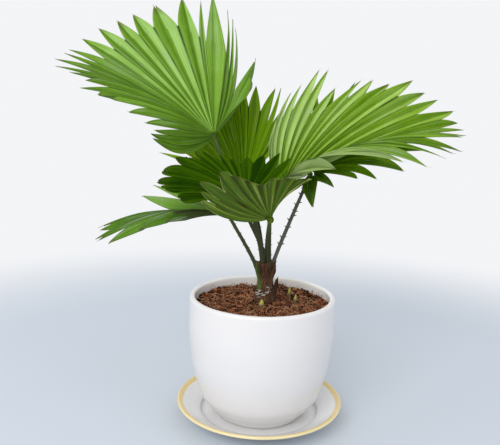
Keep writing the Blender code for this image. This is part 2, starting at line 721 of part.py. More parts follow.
def outward(made):
    """Turns the faces of a closed body outwards."""
    mesh = made.data
    mesh.calc_loop_triangles()
    points = np.array([v.co for v in mesh.vertices])
    corners = np.array([t.vertices[:] for t in mesh.loop_triangles])
    if np.linalg.det(points[corners]).sum() < 0:
        mesh.flip_normals()
    return made


def make_shoots():
    """The pointed shoots in the soil, each in its plain hole."""
    green = finish("young_shoot", (0.22, 0.26, 0.04), 0.6)
    for name, (x, y, top, radius, lean) in SHOOTS.items():
        angles = 2 * np.pi * np.arange(SHOOT_SIDES) / SHOOT_SIDES
        neck = 0.5 * (SHOOT_STRAIGHT_TO + top)
        points = []
        for height, share in ((SHOOT_DEPTH, 1.0), (SHOOT_STRAIGHT_TO, 1.0), (neck, SHOOT_NECK)):
            shift = lean * max(0.0, height - SHOOT_STRAIGHT_TO) / (top - SHOOT_STRAIGHT_TO)
            wide = share * radius
            points += [(x + shift + wide * np.cos(a), y + wide * np.sin(a), height) for a in angles]
        tip = len(points)
        points.append((x + lean, y, top))
        faces = [list(reversed(range(SHOOT_SIDES)))]
        for side in range(SHOOT_SIDES):
            near, far = side, (side + 1) % SHOOT_SIDES
            for low in (0, SHOOT_SIDES):
                high = low + SHOOT_SIDES
                faces.append((low + near, low + far, high + far, high + near))
            faces.append((2 * SHOOT_SIDES + near, 2 * SHOOT_SIDES + far, tip))
        new_object(name, points, faces, green)


def stalk_route(frond, shares):
    """Points on the cubic curve of a stalk's centre line, by share of its way from foot to hub."""
    foot, rise, lead, hub = (np.array(stop) for stop in (frond.foot, frond.rise, frond.lead, frond.hub))
    t = np.asarray(shares, float)[:, None]
    return (1 - t) ** 3 * foot + 3 * t * (1 - t) ** 2 * rise + 3 * t**2 * (1 - t) * lead + t**3 * hub


def across(direction, facing=(0.0, -1.0, 0.25)):
    """Unit vectors across a direction: one to its side, and one that faces the viewer's side."""
    side = np.cross(direction, np.asarray(facing, float))
    side /= np.linalg.norm(side, axis=-1, keepdims=True)
    return side, np.cross(side, direction)


def unit(vectors):
    """The vectors at length one."""
    return vectors / np.linalg.norm(vectors, axis=-1, keepdims=True)


def stalk_radius(frond, share):
    """A stalk's radius at a share of its way from foot to hub."""
    at_foot, at_hub = STALK_TAPER
    return frond.stalk_radius * (at_foot + (at_hub - at_foot) * share)


def stalk(frond, extra, name):
    """A stalk of oval section, made thicker all round by extra where it is to cut a socket."""
    shares = np.linspace(0, 1, STALK_RINGS)
    middle = stalk_route(frond, shares)
    along = unit(np.gradient(middle, axis=0))
    side, up = across(along)
    radius = stalk_radius(frond, shares)
    width, depth = radius + extra, radius * STALK_FLATNESS + extra
    if frond.name == CLASPING_FROND:
        clasp = np.clip(1 - shares / CLASP_LENGTH_SHARE, 0, 1) ** CLASP_EASE
        side, up = clasp_turn(side, up, along, clasp)
        width = width * (1 + (CLASP_WIDTH - 1) * clasp)
        depth = depth * (1 + (CLASP_DEPTH - 1) * clasp)
    if extra:
        middle = middle.copy()
        middle[0] -= along[0] * extra
    angles = 2 * np.pi * np.arange(STALK_SIDES) / STALK_SIDES
    rings = (
        middle[:, None]
        + side[:, None] * width[:, None, None] * np.cos(angles)[None, :, None]
        + up[:, None] * depth[:, None, None] * np.sin(angles)[None, :, None]
    )
    points = rings.reshape(-1, 3)
    faces = [list(range(STALK_SIDES)), [len(points) - 1 - i for i in range(STALK_SIDES)]]
    for level in range(STALK_RINGS - 1):
        for i in range(STALK_SIDES):
            near, far = level * STALK_SIDES + i, level * STALK_SIDES + (i + 1) % STALK_SIDES
            faces += [(near, near + STALK_SIDES, far + STALK_SIDES), (near, far + STALK_SIDES, far)]
    return outward(new_object(name, points, faces))


def clasp_turn(side, up, along, clasp):
    """Turns the section's wide way round the trunk where the stalk clasps it."""
    round_trunk = unit(np.cross(along, np.array([-1.0, 0, 0])))
    turned_side = unit((1 - clasp)[:, None] * side + clasp[:, None] * round_trunk)
    return turned_side, unit(np.cross(turned_side, along))


def thorns(frond):
    """Thorns on both edges of a stalk, alternating, each a small pointed wedge rooted in it."""
    made = []
    for number, share in enumerate(np.linspace(*THORN_SPAN, frond.thorns)):
        for way in (-1, 1):
            place = share + (THORN_STAGGER if way > 0 else 0.0)
            here, ahead = stalk_route(frond, np.array([place, place + 0.01]))
            along = unit(ahead - here)
            side, up = across(along)
            radius = stalk_radius(frond, place)
            root = here + way * side * (radius - THORN_ROOT_DEPTH)
            tip = here + way * side * (radius + THORN_LENGTH) + along * THORN_LEAN * THORN_LENGTH
            points = [
                root - along * THORN_WIDTH,
                root + along * THORN_WIDTH,
                root + up * THORN_HEIGHT_SHARE * THORN_WIDTH,
                root - up * THORN_HEIGHT_SHARE * THORN_WIDTH,
                tip,
            ]
            faces = [(0, 2, 4), (2, 1, 4), (1, 3, 4), (3, 0, 4), (0, 3, 1, 2)]
            made.append(outward(new_object(f"thorn_{number}_{way}", points, faces)))
    return made


class FanSurface:
    """The smooth surface that a frond's fan follows, before it is pleated."""

    def __init__(self, frond):
        self.frond = frond
        self.hub = np.array(frond.hub)
        numbers, reach = zip(*frond.tips)
        self.places = [(number + 0.5) / frond.segments for number in numbers]
        self.reach = reach
        self.bow = unit(np.array(frond.bow, float))

    def at(self, place, share):
        """Points by place across the fan and by share of the segment's length."""
        place, share = np.broadcast_arrays(np.asarray(place, float), np.asarray(share, float))
        reach = smooth_between(self.places, self.reach, place)
        length = np.linalg.norm(reach, axis=-1, keepdims=True)
        along = reach / length
        bow = self.bow - (along @ self.bow)[..., None] * along
        arch = smooth_between(*zip(*self.frond.arch), place)
        rise = 4 * arch * length * (share - share**2)[..., None]
        return self.hub + share[..., None] * reach + rise * bow

    def facing(self, place, share):
        """Unit normals of the surface."""
        small = 0.001
        over = self.at(place + small, share) - self.at(place - small, share)
        out = self.at(place, share + small) - self.at(place, np.maximum(share - small, small))
        return unit(np.cross(over, out))

    def joined(self, place):
        """Share of a segment's length that is joined to the next."""
        return smooth_between(*zip(*self.frond.joined), place)[..., 0]

    def start(self, place):
        """Share of a segment's length that lies inside the hub."""
        reach = smooth_between(self.places, self.reach, place)
        return BLADE_START / np.linalg.norm(reach, axis=-1)


def blade(frond):
    """The pleated fan: segments folded along their middles, joined near the hub and free at their tips.

    Columns run out from the hub, by turns along the joint between two segments, which the fold lifts,
    and along a segment's middle, which it lowers. The free part narrows to the tip.
    """
    surface = FanSurface(frond)
    segments = frond.segments
    columns = np.arange(2 * segments + 1)
    place = columns / (2 * segments)
    inner, outer = surface.start(place), surface.joined(place)
    strips = np.array(JOINED_STRIPS)[:, None]
    share = inner + (outer - inner) * strips
    place = np.broadcast_to(place, share.shape)
    flat, normal = surface.at(place, share), surface.facing(place, share)
    half = np.linalg.norm(
        surface.at(place + 0.5 / segments, share) - surface.at(place - 0.5 / segments, share), axis=-1
    ) / 2
    lift = np.where(columns % 2, -0.5, 0.5) * PLEAT_SLOPE * half
    joined = flat + normal * lift[..., None]
    points, normals = list(joined.reshape(-1, 3)), list(normal.reshape(-1, 3))
    width = len(columns)
    triangles = []
    for strip in range(len(JOINED_STRIPS) - 1):
        for column in range(width - 1):
            a = strip * width + column
            triangles += folded_quad(a, a + 1, a + 1 + width, a + width, column % 2)
    for segment in range(segments):
        left = (len(JOINED_STRIPS) - 1) * width + 2 * segment
        row = [left, left + 1, left + 2]
        middle_place = (segment + 0.5) / segments
        cut = outer[2 * segment + 1]
        spread = [joined[-1, 2 * segment] - joined[-1, 2 * segment + 1],
                  joined[-1, 2 * segment + 2] - joined[-1, 2 * segment + 1]]
        drop = joined[-1, 2 * segment + 1] - flat[-1, 2 * segment + 1]
        power = np.interp(middle_place, *zip(*frond.taper_power))
        for tau in FREE_STRIPS:
            along = cut + (1 - cut) * tau
            taper = (1 - tau) ** power * (1 + frond.fullness * tau)
            middle = surface.at(middle_place, along) + drop * taper
            facing = surface.facing(np.array(middle_place), np.array(along))
            new = [len(points), len(points) + 1, len(points) + 2]
            points += [middle + spread[0] * taper, middle, middle + spread[1] * taper]
            normals += [facing] * 3
            triangles += folded_quad(row[0], row[1], new[1], new[0], 0)
            triangles += folded_quad(row[1], row[2], new[2], new[1], 1)
            row = new
        tip = len(points)
        points.append(surface.at(middle_place, 1.0))
        normals.append(surface.facing(np.array(middle_place), np.array(1.0)))
        triangles += [(row[0], row[1], tip), (row[1], row[2], tip)]
    return thick(frond.name, np.array(points), np.array(normals), np.array(triangles))


def folded_quad(a, b, c, d, odd):
    """Two triangles of a quad, with its diagonal on the same side of each fold."""
    return [(a, b, c), (a, c, d)] if odd else [(a, b, d), (b, c, d)]


def thick(name, points, normals, triangles):
    """A closed thin solid from a sheet: both faces have the same triangles, and walls close its edge."""
    count = len(points)
    above = points + 0.5 * BLADE_THICKNESS * normals
    below = points - 0.5 * BLADE_THICKNESS * normals
    edges = np.concatenate([triangles[:, [0, 1]], triangles[:, [1, 2]], triangles[:, [2, 0]]])
    known = {tuple(edge) for edge in edges.tolist()}
    rim = [(a, b) for a, b in known if (b, a) not in known]
    walls = [(b, a, a + count, b + count) for a, b in sorted(rim)]
    faces = triangles.tolist() + (triangles[:, ::-1] + count).tolist() + walls
    return outward(new_object(name, np.vstack([above, below]), faces))


def hub_body(frond):
    """The small round body where the stalk spreads into the fan."""
    surface = FanSurface(frond)
    facing = surface.facing(np.array(0.5), np.array(0.3))
    side, up = across(facing, (0.3, 0.2, 1.0))
    points = [np.array(frond.hub) + HUB_HEIGHT * facing]
    for ring in range(1, HUB_RINGS):
        tilt = np.pi * ring / HUB_RINGS
        for i in range(HUB_SIDES):
            turn = 2 * np.pi * i / HUB_SIDES
            flat = HUB_RADIUS * np.sin(tilt) * (np.cos(turn) * side + np.sin(turn) * up)
            points.append(np.array(frond.hub) + flat + HUB_HEIGHT * np.cos(tilt) * facing)
    points.append(np.array(frond.hub) - HUB_HEIGHT * facing)
    last = len(points) - 1
    faces = []
    for i in range(HUB_SIDES):
        j = (i + 1) % HUB_SIDES
        faces.append((0, 1 + i, 1 + j))
        for ring in range(HUB_RINGS - 2):
            low = 1 + ring * HUB_SIDES
            high = low + HUB_SIDES
            faces.append((low + i, high + i, high + j, low + j))
        low = 1 + (HUB_RINGS - 2) * HUB_SIDES
        faces.append((low + i, last, low + j))
    return outward(new_object(frond.name + "_hub", points, faces))


def make_frond(frond):
    """One frond as a single solid: blade, hub, stalk and thorns."""
    green = finish(frond.name, (0.12, 0.27, 0.035), 0.45)
    fan = blade(frond)
    pieces = [hub_body(frond), stalk(frond, 0.0, frond.name + "_stalk")] + thorns(frond)
    united(fan, pieces)
    fan.data.materials.clear()
    fan.data.materials.append(green)
    return fan


def main():
    """Builds every piece."""
    clear_scene()
    make_saucer()
    make_pot()
    make_soil(SHOOTS)
    make_shoots()
    make_trunk()
    for frond in FRONDS:
        make_frond(frond)


main()
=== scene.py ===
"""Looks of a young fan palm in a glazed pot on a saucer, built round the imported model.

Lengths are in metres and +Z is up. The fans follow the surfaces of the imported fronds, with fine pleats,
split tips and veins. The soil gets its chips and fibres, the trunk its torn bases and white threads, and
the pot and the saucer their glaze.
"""

import logging
import math
from dataclasses import dataclass, field
from enum import Enum

import bpy
import numpy as np
from mathutils import Matrix, Vector


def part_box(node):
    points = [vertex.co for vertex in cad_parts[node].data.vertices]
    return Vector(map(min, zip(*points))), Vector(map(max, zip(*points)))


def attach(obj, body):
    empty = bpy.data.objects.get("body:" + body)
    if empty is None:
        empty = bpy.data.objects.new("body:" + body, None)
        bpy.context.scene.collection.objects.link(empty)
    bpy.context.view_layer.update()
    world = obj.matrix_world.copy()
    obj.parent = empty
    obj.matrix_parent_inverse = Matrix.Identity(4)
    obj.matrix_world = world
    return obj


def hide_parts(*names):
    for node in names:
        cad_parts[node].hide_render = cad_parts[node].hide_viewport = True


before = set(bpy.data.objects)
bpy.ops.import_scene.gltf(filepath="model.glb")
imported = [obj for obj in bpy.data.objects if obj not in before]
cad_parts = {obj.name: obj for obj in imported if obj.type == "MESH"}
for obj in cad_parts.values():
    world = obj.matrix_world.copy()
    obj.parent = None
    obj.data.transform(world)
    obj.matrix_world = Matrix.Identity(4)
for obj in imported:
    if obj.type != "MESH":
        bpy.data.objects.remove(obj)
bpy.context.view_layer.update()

log = logging.getLogger("palm")
Array = np.ndarray
Point = Colour = tuple[float, float, float]
Stations = tuple[tuple[float, float], ...]
BODY = "root"


# Working out shapes


def unit(vectors: Array) -> Array:
    """The vectors at length one."""
    return vectors / np.linalg.norm(vectors, axis=-1, keepdims=True)


def eased(value: Array, low: float, high: float) -> Array:
    """Goes smoothly from 0 at low to 1 at high: three squares less two cubes of the share of the way."""
    share = np.clip((value - low) / (high - low), 0, 1)
    return share * share * (3 - 2 * share)


def smooth_between(places: Array, values: Array, at: Array) -> Array:
    """A smooth curve through values at rising places, with no overshoot.

    Each stretch is a cubic whose end slopes are the harmonic means of the slopes on either side. Past
    the first and the last place the curve runs on straight.

    Args:
        places: rising places of the known values.
        values: one number, or one row of numbers, for each place.
        at: where the curve is read.

    Returns:
        The curve's rows at those places, one more dimension than at.
    """
    x = np.asarray(places, float)
    y = np.asarray(values, float).reshape(len(x), -1)
    at = np.asarray(at, float)
    step = np.diff(x)[:, None]
    rise = np.diff(y, axis=0) / step
    before, after = rise[:-1], rise[1:]
    heavy, light = 2 * step[1:] + step[:-1], step[1:] + 2 * step[:-1]
    alike = before * after > 0
    mean = (heavy + light) / (heavy / np.where(alike, before, 1) + light / np.where(alike, after, 1))
    slope = np.vstack([rise[:1], np.where(alike, mean, 0), rise[-1:]])
    flat = at.reshape(-1)
    inside = np.clip(flat, x[0], x[-1])
    i = np.clip(np.searchsorted(x, inside, side="right") - 1, 0, len(x) - 2)
    t = ((inside - x[i]) / np.diff(x)[i])[:, None]
    width = step[i]
    curve = (
        y[i] * (1 + 2 * t) * (1 - t) ** 2
        + width * slope[i] * t * (1 - t) ** 2
        + y[i + 1] * t**2 * (3 - 2 * t)
        + width * slope[i + 1] * t**2 * (t - 1)
    )
    beyond = (flat - inside)[:, None] * np.where(flat[:, None] < x[0], slope[0], slope[-1])
    return (curve + beyond).reshape(*at.shape, y.shape[1])


def smoothly(stations: Stations, at: Array) -> Array:
    """The smooth curve through stations of a place and a value each."""
    return smooth_between(*zip(*stations), at)[..., 0]


def straight(stations: Stations, at: Array) -> Array:
    """The broken line through such stations."""
    return np.interp(at, *zip(*stations))


def stacked(*parts: Array | float) -> Array:
    """The parts as a last dimension, each repeated to the shape of them all."""
    return np.stack(np.broadcast_arrays(*parts), -1)


def grid_quads(rows: int, columns: int, wrap: bool = False) -> Array:
    """Quads of a grid whose points are numbered row by row, closed round its columns if wrap is true."""
    row = np.arange(rows - 1)[:, None] * columns
    near = np.arange(columns if wrap else columns - 1)
    far = (near + 1) % columns
    a, b = row + near, row + far
    return np.stack([a, b, b + columns, a + columns], -1).reshape(-1, 4)


def circle(sides: int) -> tuple[Array, Array, Array]:
    """Cosines and sines of evenly spaced angles, and a grain that goes from 1 to 0 and back round them."""
    turn = 2 * np.pi * np.arange(sides) / sides
    return np.cos(turn), np.sin(turn), np.abs(2 * np.arange(sides) / sides - 1)


def hoops(middle: Array, side: Array, up: Array, wide: Array, deep: Array) -> Array:
    """Rings of points round each middle: wide times its side vector and deep times its up vector off it."""
    return middle[..., None, :] + side[..., None, :] * wide[..., None] + up[..., None, :] * deep[..., None]


def placed(name: str, data: bpy.types.ID) -> bpy.types.Object:
    """A new object in the scene."""
    thing = bpy.data.objects.new(name, data)
    bpy.context.scene.collection.objects.link(thing)
    return thing


class Grain:
    """Smooth random relief through space, the same on every run.

    Each whole point of a lattice has a random value from -1 to 1, and between the points the values are
    blended along each axis by a smooth step.
    """

    def __init__(self, seed: int, size: int = 32) -> None:
        """Draws the lattice's values."""
        self.size = size
        self.values = np.random.default_rng(seed).uniform(-1, 1, (size, size, size))

    def at(self, points: Array, scale: float, layers: int = 1) -> Array:
        """The relief at points, with lumps of about the size of scale.

        Args:
            points: places, with three numbers in the last dimension.
            scale: size of the largest lumps.
            layers: how many finer reliefs are added, each half as large and half as high.

        Returns:
            One value for each point.
        """
        total = np.zeros(points.shape[:-1])
        for layer in range(layers):
            place = points * 2**layer / scale
            cell = np.floor(place).astype(int)
            share = place - cell
            share = eased(share, 0, 1)
            for corner in np.ndindex(2, 2, 2):
                weight = np.prod(np.where(corner, share, 1 - share), axis=-1)
                x, y, z = np.moveaxis((cell + corner) % self.size, -1, 0)
                total += weight * self.values[x, y, z] / 2**layer
        return total


@dataclass
class Shape:
    """A piece in the making: points, faces, and the values that its finish reads at each point."""

    points: Array
    quads: Array
    triangles: Array = field(default_factory=lambda: np.empty((0, 3), int))
    grain: Array | None = None
    marks: dict[str, Array] = field(default_factory=dict)

    def __post_init__(self) -> None:
        """Gives the piece a grain map, if it has none."""
        if self.grain is None:
            self.grain = np.zeros((len(self.points), 2))

    def with_(self, *others: "Shape") -> "Shape":
        """This shape and the others as one, with zero for a mark that one of them lacks."""
        every = (self, *others)
        starts = np.cumsum([0] + [len(s.points) for s in every])
        names = {name for s in every for name in s.marks}
        return Shape(
            np.concatenate([s.points for s in every]),
            np.concatenate([s.quads + start for s, start in zip(every, starts)]),
            np.concatenate([s.triangles + start for s, start in zip(every, starts)]),
            np.concatenate([s.grain for s in every]),
            {n: np.concatenate([s.marks.get(n, np.zeros(len(s.points))) for s in every]) for n in names},
        )

    def all_triangles(self) -> Array:
        """Every face as triangles."""
        return np.concatenate([self.triangles, self.quads[:, :3], self.quads[:, [0, 2, 3]]])

    def outward(self) -> "Shape":
        """Turns the faces of a closed shape outwards, by the sign of its volume."""
        middle = self.points.mean(0)
        if np.linalg.det((self.points - middle)[self.all_triangles()]).sum() < 0:
            self.quads = self.quads[:, ::-1]
            self.triangles = self.triangles[:, ::-1]
        return self

    def thickened(self, normals: Array, thickness: Array) -> "Shape":
        """A closed thin shape from an open sheet.

        A point moves half the thickness to each side along its normal, and each edge that only one face
        has gets a wall.

        Args:
            normals: unit normals, one a point.
            thickness: thickness at each point.

        Returns:
            The closed shape. Its mark under is 1 on the side that the normals point away from.
        """
        count = len(self.points)
        shift = 0.5 * thickness[:, None] * normals
        edges = [self.quads[:, [i, (i + 1) % 4]] for i in range(4)]
        edges += [self.triangles[:, [i, (i + 1) % 3]] for i in range(3)]
        edges = np.concatenate(edges)
        low, high = edges.min(1), edges.max(1)
        _, first, times = np.unique(low * count + high, return_index=True, return_counts=True)
        rim = edges[first[times == 1]]
        walls = np.stack([rim[:, 1], rim[:, 0], rim[:, 0] + count, rim[:, 1] + count], 1)
        marks = {name: np.tile(values, 2) for name, values in self.marks.items()}
        marks["under"] = np.repeat([0.0, 1.0], count)
        return Shape(
            np.concatenate([self.points + shift, self.points - shift]),
            np.concatenate([self.quads, self.quads[:, ::-1] + count, walls]),
            np.concatenate([self.triangles, self.triangles[:, ::-1] + count]),
            np.tile(self.grain, (2, 1)),
            marks,
        )

    def made(self, name: str, slot: str, finish: bpy.types.Material, node: str | None = None) -> None:
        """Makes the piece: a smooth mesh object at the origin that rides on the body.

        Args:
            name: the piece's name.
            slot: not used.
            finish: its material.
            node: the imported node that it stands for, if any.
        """
        mesh = bpy.data.meshes.new(name)
        mesh.from_pydata(self.points.tolist(), [], self.quads.tolist() + self.triangles.tolist())
        corners = np.empty(len(mesh.loops), np.int32)
        mesh.loops.foreach_get("vertex_index", corners)
        grain = mesh.uv_layers.new(name="grain").data
        grain.foreach_set("uv", self.grain[corners].astype(np.float32).ravel())
        for mark, values in sorted(self.marks.items()):
            mesh.attributes.new(mark, "FLOAT", "POINT").data.foreach_set("value", values.astype(np.float32))
        mesh.shade_smooth()
        mesh.materials.append(finish)
        piece = placed(name, mesh)
        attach(piece, BODY)
        if node:
            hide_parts(node)
        log.info("%s: %d triangles", name, 2 * len(self.quads) + len(self.triangles))


def turned(profile: Array, sides: int) -> Shape:
    """A surface of revolution from rows of (radius, height).

    Each point of the profile goes round the axis in a ring. An end that lies on the axis closes in one
    point, and a profile with no such end is closed from its last point to its first.
    """
    profile = np.asarray(profile, float)
    on_axis = profile[:, 0] < 1e-9
    rings = profile[~on_axis]
    cos, sin, _ = circle(sides)
    points = stacked(rings[:, :1] * cos, rings[:, :1] * sin, rings[:, 1:]).reshape(-1, 3)
    quads = grid_quads(len(rings), sides, wrap=True)
    side = np.arange(sides)
    following = (side + 1) % sides
    last = (len(rings) - 1) * sides
    triangles = np.empty((0, 3), int)
    if on_axis.any():
        first_pole, last_pole = len(points), len(points) + 1
        poles = np.array([[0, 0, profile[0, 1]], [0, 0, profile[-1, 1]]])
        points = np.concatenate([points, poles])
        top = np.stack([following, side, np.full(sides, first_pole)], 1)
        bottom = np.stack([last + side, last + following, np.full(sides, last_pole)], 1)
        triangles = np.concatenate([top, bottom])
    else:
        quads = np.concatenate([quads, np.stack([last + side, last + following, following, side], 1)])
    return Shape(points, quads, triangles).outward()


def rounded(profile: Array, soft: float, steps: int = 4) -> Array:
    """A profile with its corners eased.

    Each corner gives way to a curve that starts and ends at most soft from it, along its two legs, and
    follows the square law that heads for the corner.
    """
    profile = np.asarray(profile, float)
    corner, before, after = profile[1:-1], profile[:-2] - profile[1:-1], profile[2:] - profile[1:-1]
    shorter = np.minimum(np.linalg.norm(before, axis=1), np.linalg.norm(after, axis=1))
    reach = np.minimum(soft, 0.45 * shorter)
    start, end = corner + unit(before) * reach[:, None], corner + unit(after) * reach[:, None]
    t = np.linspace(0, 1, steps + 1)[None, :, None]
    curve = (1 - t) ** 2 * start[:, None] + 2 * t * (1 - t) * corner[:, None] + t**2 * end[:, None]
    return np.concatenate([profile[:1], curve.reshape(-1, 2), profile[-1:]])


def crosswise(along: Array, facing: Point = (0.0, -1.0, 0.25)) -> tuple[Array, Array]:
    """Unit vectors across a direction: one to its side, and one that turns to the way given by facing."""
    side = unit(np.cross(along, np.array(facing, float)))
    return side, np.cross(side, along)


def lofted(rings: Array, grain: Array) -> Shape:
    """Closed bodies from rings of points, with a point of its own at each end, an eighth of a step on.

    Args:
        rings: (bodies, places, sides, 3) points.
        grain: (bodies, places, sides, 2) grain map, or one that repeats to this.

    Returns:
        The bodies as one shape. Its mark number is a random-looking number from 0 to 1 for each body.
    """
    count, places, sides, _ = rings.shape
    middle = rings.mean(2)
    start = middle[:, 0] + 0.125 * (middle[:, 0] - middle[:, 1])
    end = middle[:, -1] + 0.125 * (middle[:, -1] - middle[:, -2])
    each = places * sides
    offset = np.arange(count)[:, None, None] * each
    quads = (grid_quads(places, sides, wrap=True)[None] + offset).reshape(-1, 4)
    near = np.arange(sides)
    far = (near + 1) % sides
    first = count * each + np.arange(count)[:, None] + 0 * near
    low = np.stack([far + offset[:, 0], near + offset[:, 0], first], -1)
    top = (places - 1) * sides + offset[:, 0]
    high = np.stack([near + top, far + top, first + count], -1)
    grain = np.broadcast_to(grain, (count, places, sides, 2))
    ends = [grain[:, row].mean(1) for row in (0, -1)]
    number = np.arange(count) * 0.6180339887 % 1
    return Shape(
        np.concatenate([rings.reshape(-1, 3), start, end]),
        quads,
        np.concatenate([low.reshape(-1, 3), high.reshape(-1, 3)]),
        np.concatenate([grain.reshape(-1, 2), *ends]),
        {"number": np.concatenate([np.repeat(number, each), number, number])},
    ).outward()


def tubes(
    paths: Array, radii: Array, sides: int, flatness: float = 1.0, facing: Point = (0.1, -1.0, 0.3),
) -> Shape:
    """Many tubes of one kind.

    Round each place of a path lie the points of an oval, across the path: cosine times the radius to its
    side, and sine times the radius times the flatness towards facing.

    Args:
        paths: (tubes, places, 3) middle lines.
        radii: radius at each place of each path.
        sides: points round a tube.
        flatness: depth of the oval over its width.
        facing: the way that the oval's narrow side faces.

    Returns:
        The tubes as one closed shape, with grain x round them and grain y from 0 to 1 along them.
    """
    side, up = crosswise(unit(np.gradient(paths, axis=1)), facing)
    cos, sin, grain = circle(sides)
    radii = radii[..., None]
    rings = hoops(paths, side, up, radii * cos, flatness * radii * sin)
    return lofted(rings, np.stack(np.meshgrid(grain, np.linspace(0, 1, paths.shape[1])), -1)[None])


@dataclass
class Sheet:
    """An open sheet in the making, from grids of points that share their edges."""

    points: list[Array] = field(default_factory=list)
    values: list[Array] = field(default_factory=list)
    quads: list[Array] = field(default_factory=list)
    triangles: list[Array] = field(default_factory=list)
    count: int = 0

    def lay(
        self, points: Array, normals: Array, across: Array, along: Array, free: float, number: Array,
    ) -> Array:
        """Adds points.

        Args:
            points: (..., 3) places.
            normals: their unit normals, as all that follows in any shape that repeats to theirs.
            across: grain over the sheet.
            along: grain along it.
            free: the mark free.
            number: the mark number.

        Returns:
            The points' numbers in the sheet, in the same shape.
        """
        shape = points.shape[:-1]
        row = [np.broadcast_to(v, shape).ravel() for v in (across, along, free, number)]
        self.points.append(points.reshape(-1, 3))
        self.values.append(np.column_stack([np.broadcast_to(normals, points.shape).reshape(-1, 3), *row]))
        index = self.count + np.arange(len(row[0])).reshape(shape)
        self.count += index.size
        return index

    def weave(self, index: Array) -> None:
        """Adds the quads of grids of point numbers: rows and columns are their last two dimensions."""
        low, high = index[..., :-1, :], index[..., 1:, :]
        quads = np.stack([low[..., :-1], low[..., 1:], high[..., 1:], high[..., :-1]], -1)
        self.quads.append(quads.reshape(-1, 4))

    def close(self, rows: Array, tips: Array) -> None:
        """Adds the triangles from each row of point numbers to its tip."""
        end = np.broadcast_to(tips[:, None], rows[:, 1:].shape)
        self.triangles.append(np.stack([rows[:, :-1], rows[:, 1:], end], -1).reshape(-1, 3))

    def made_thick(self, thickness: float, flipped: bool) -> Shape:
        """The closed shape. If flipped, the side that the normals point away from is the upper one."""
        points, values = np.concatenate(self.points), np.concatenate(self.values)
        marks = {"free": values[:, 5], "number": values[:, 6]}
        faces = np.concatenate(self.quads), np.concatenate(self.triangles)
        sheet = Shape(points, *faces, values[:, 3:5], marks)
        shape = sheet.thickened(values[:, :3], np.full(len(points), thickness))
        if flipped:
            shape.marks["under"] = 1 - shape.marks["under"]
        return shape


# Finishes


@dataclass
class Signal:
    """What a node gives out. A sum or product with it adds the node that works it out."""

    recipe: "Recipe"
    socket: bpy.types.NodeSocket

    def __add__(self, other: "Value") -> "Signal":
        """This plus the other."""
        return self.recipe.math("ADD", self, other)

    def __sub__(self, other: "Value") -> "Signal":
        """This less the other."""
        return self.recipe.math("SUBTRACT", self, other)

    def __rsub__(self, other: "Value") -> "Signal":
        """The other less this."""
        return self.recipe.math("SUBTRACT", other, self)

    def __mul__(self, other: "Value") -> "Signal":
        """This times the other."""
        return self.recipe.math("MULTIPLY", self, other)

    __radd__, __rmul__ = __add__, __mul__


Value = Signal | float
Hue = Signal | Colour


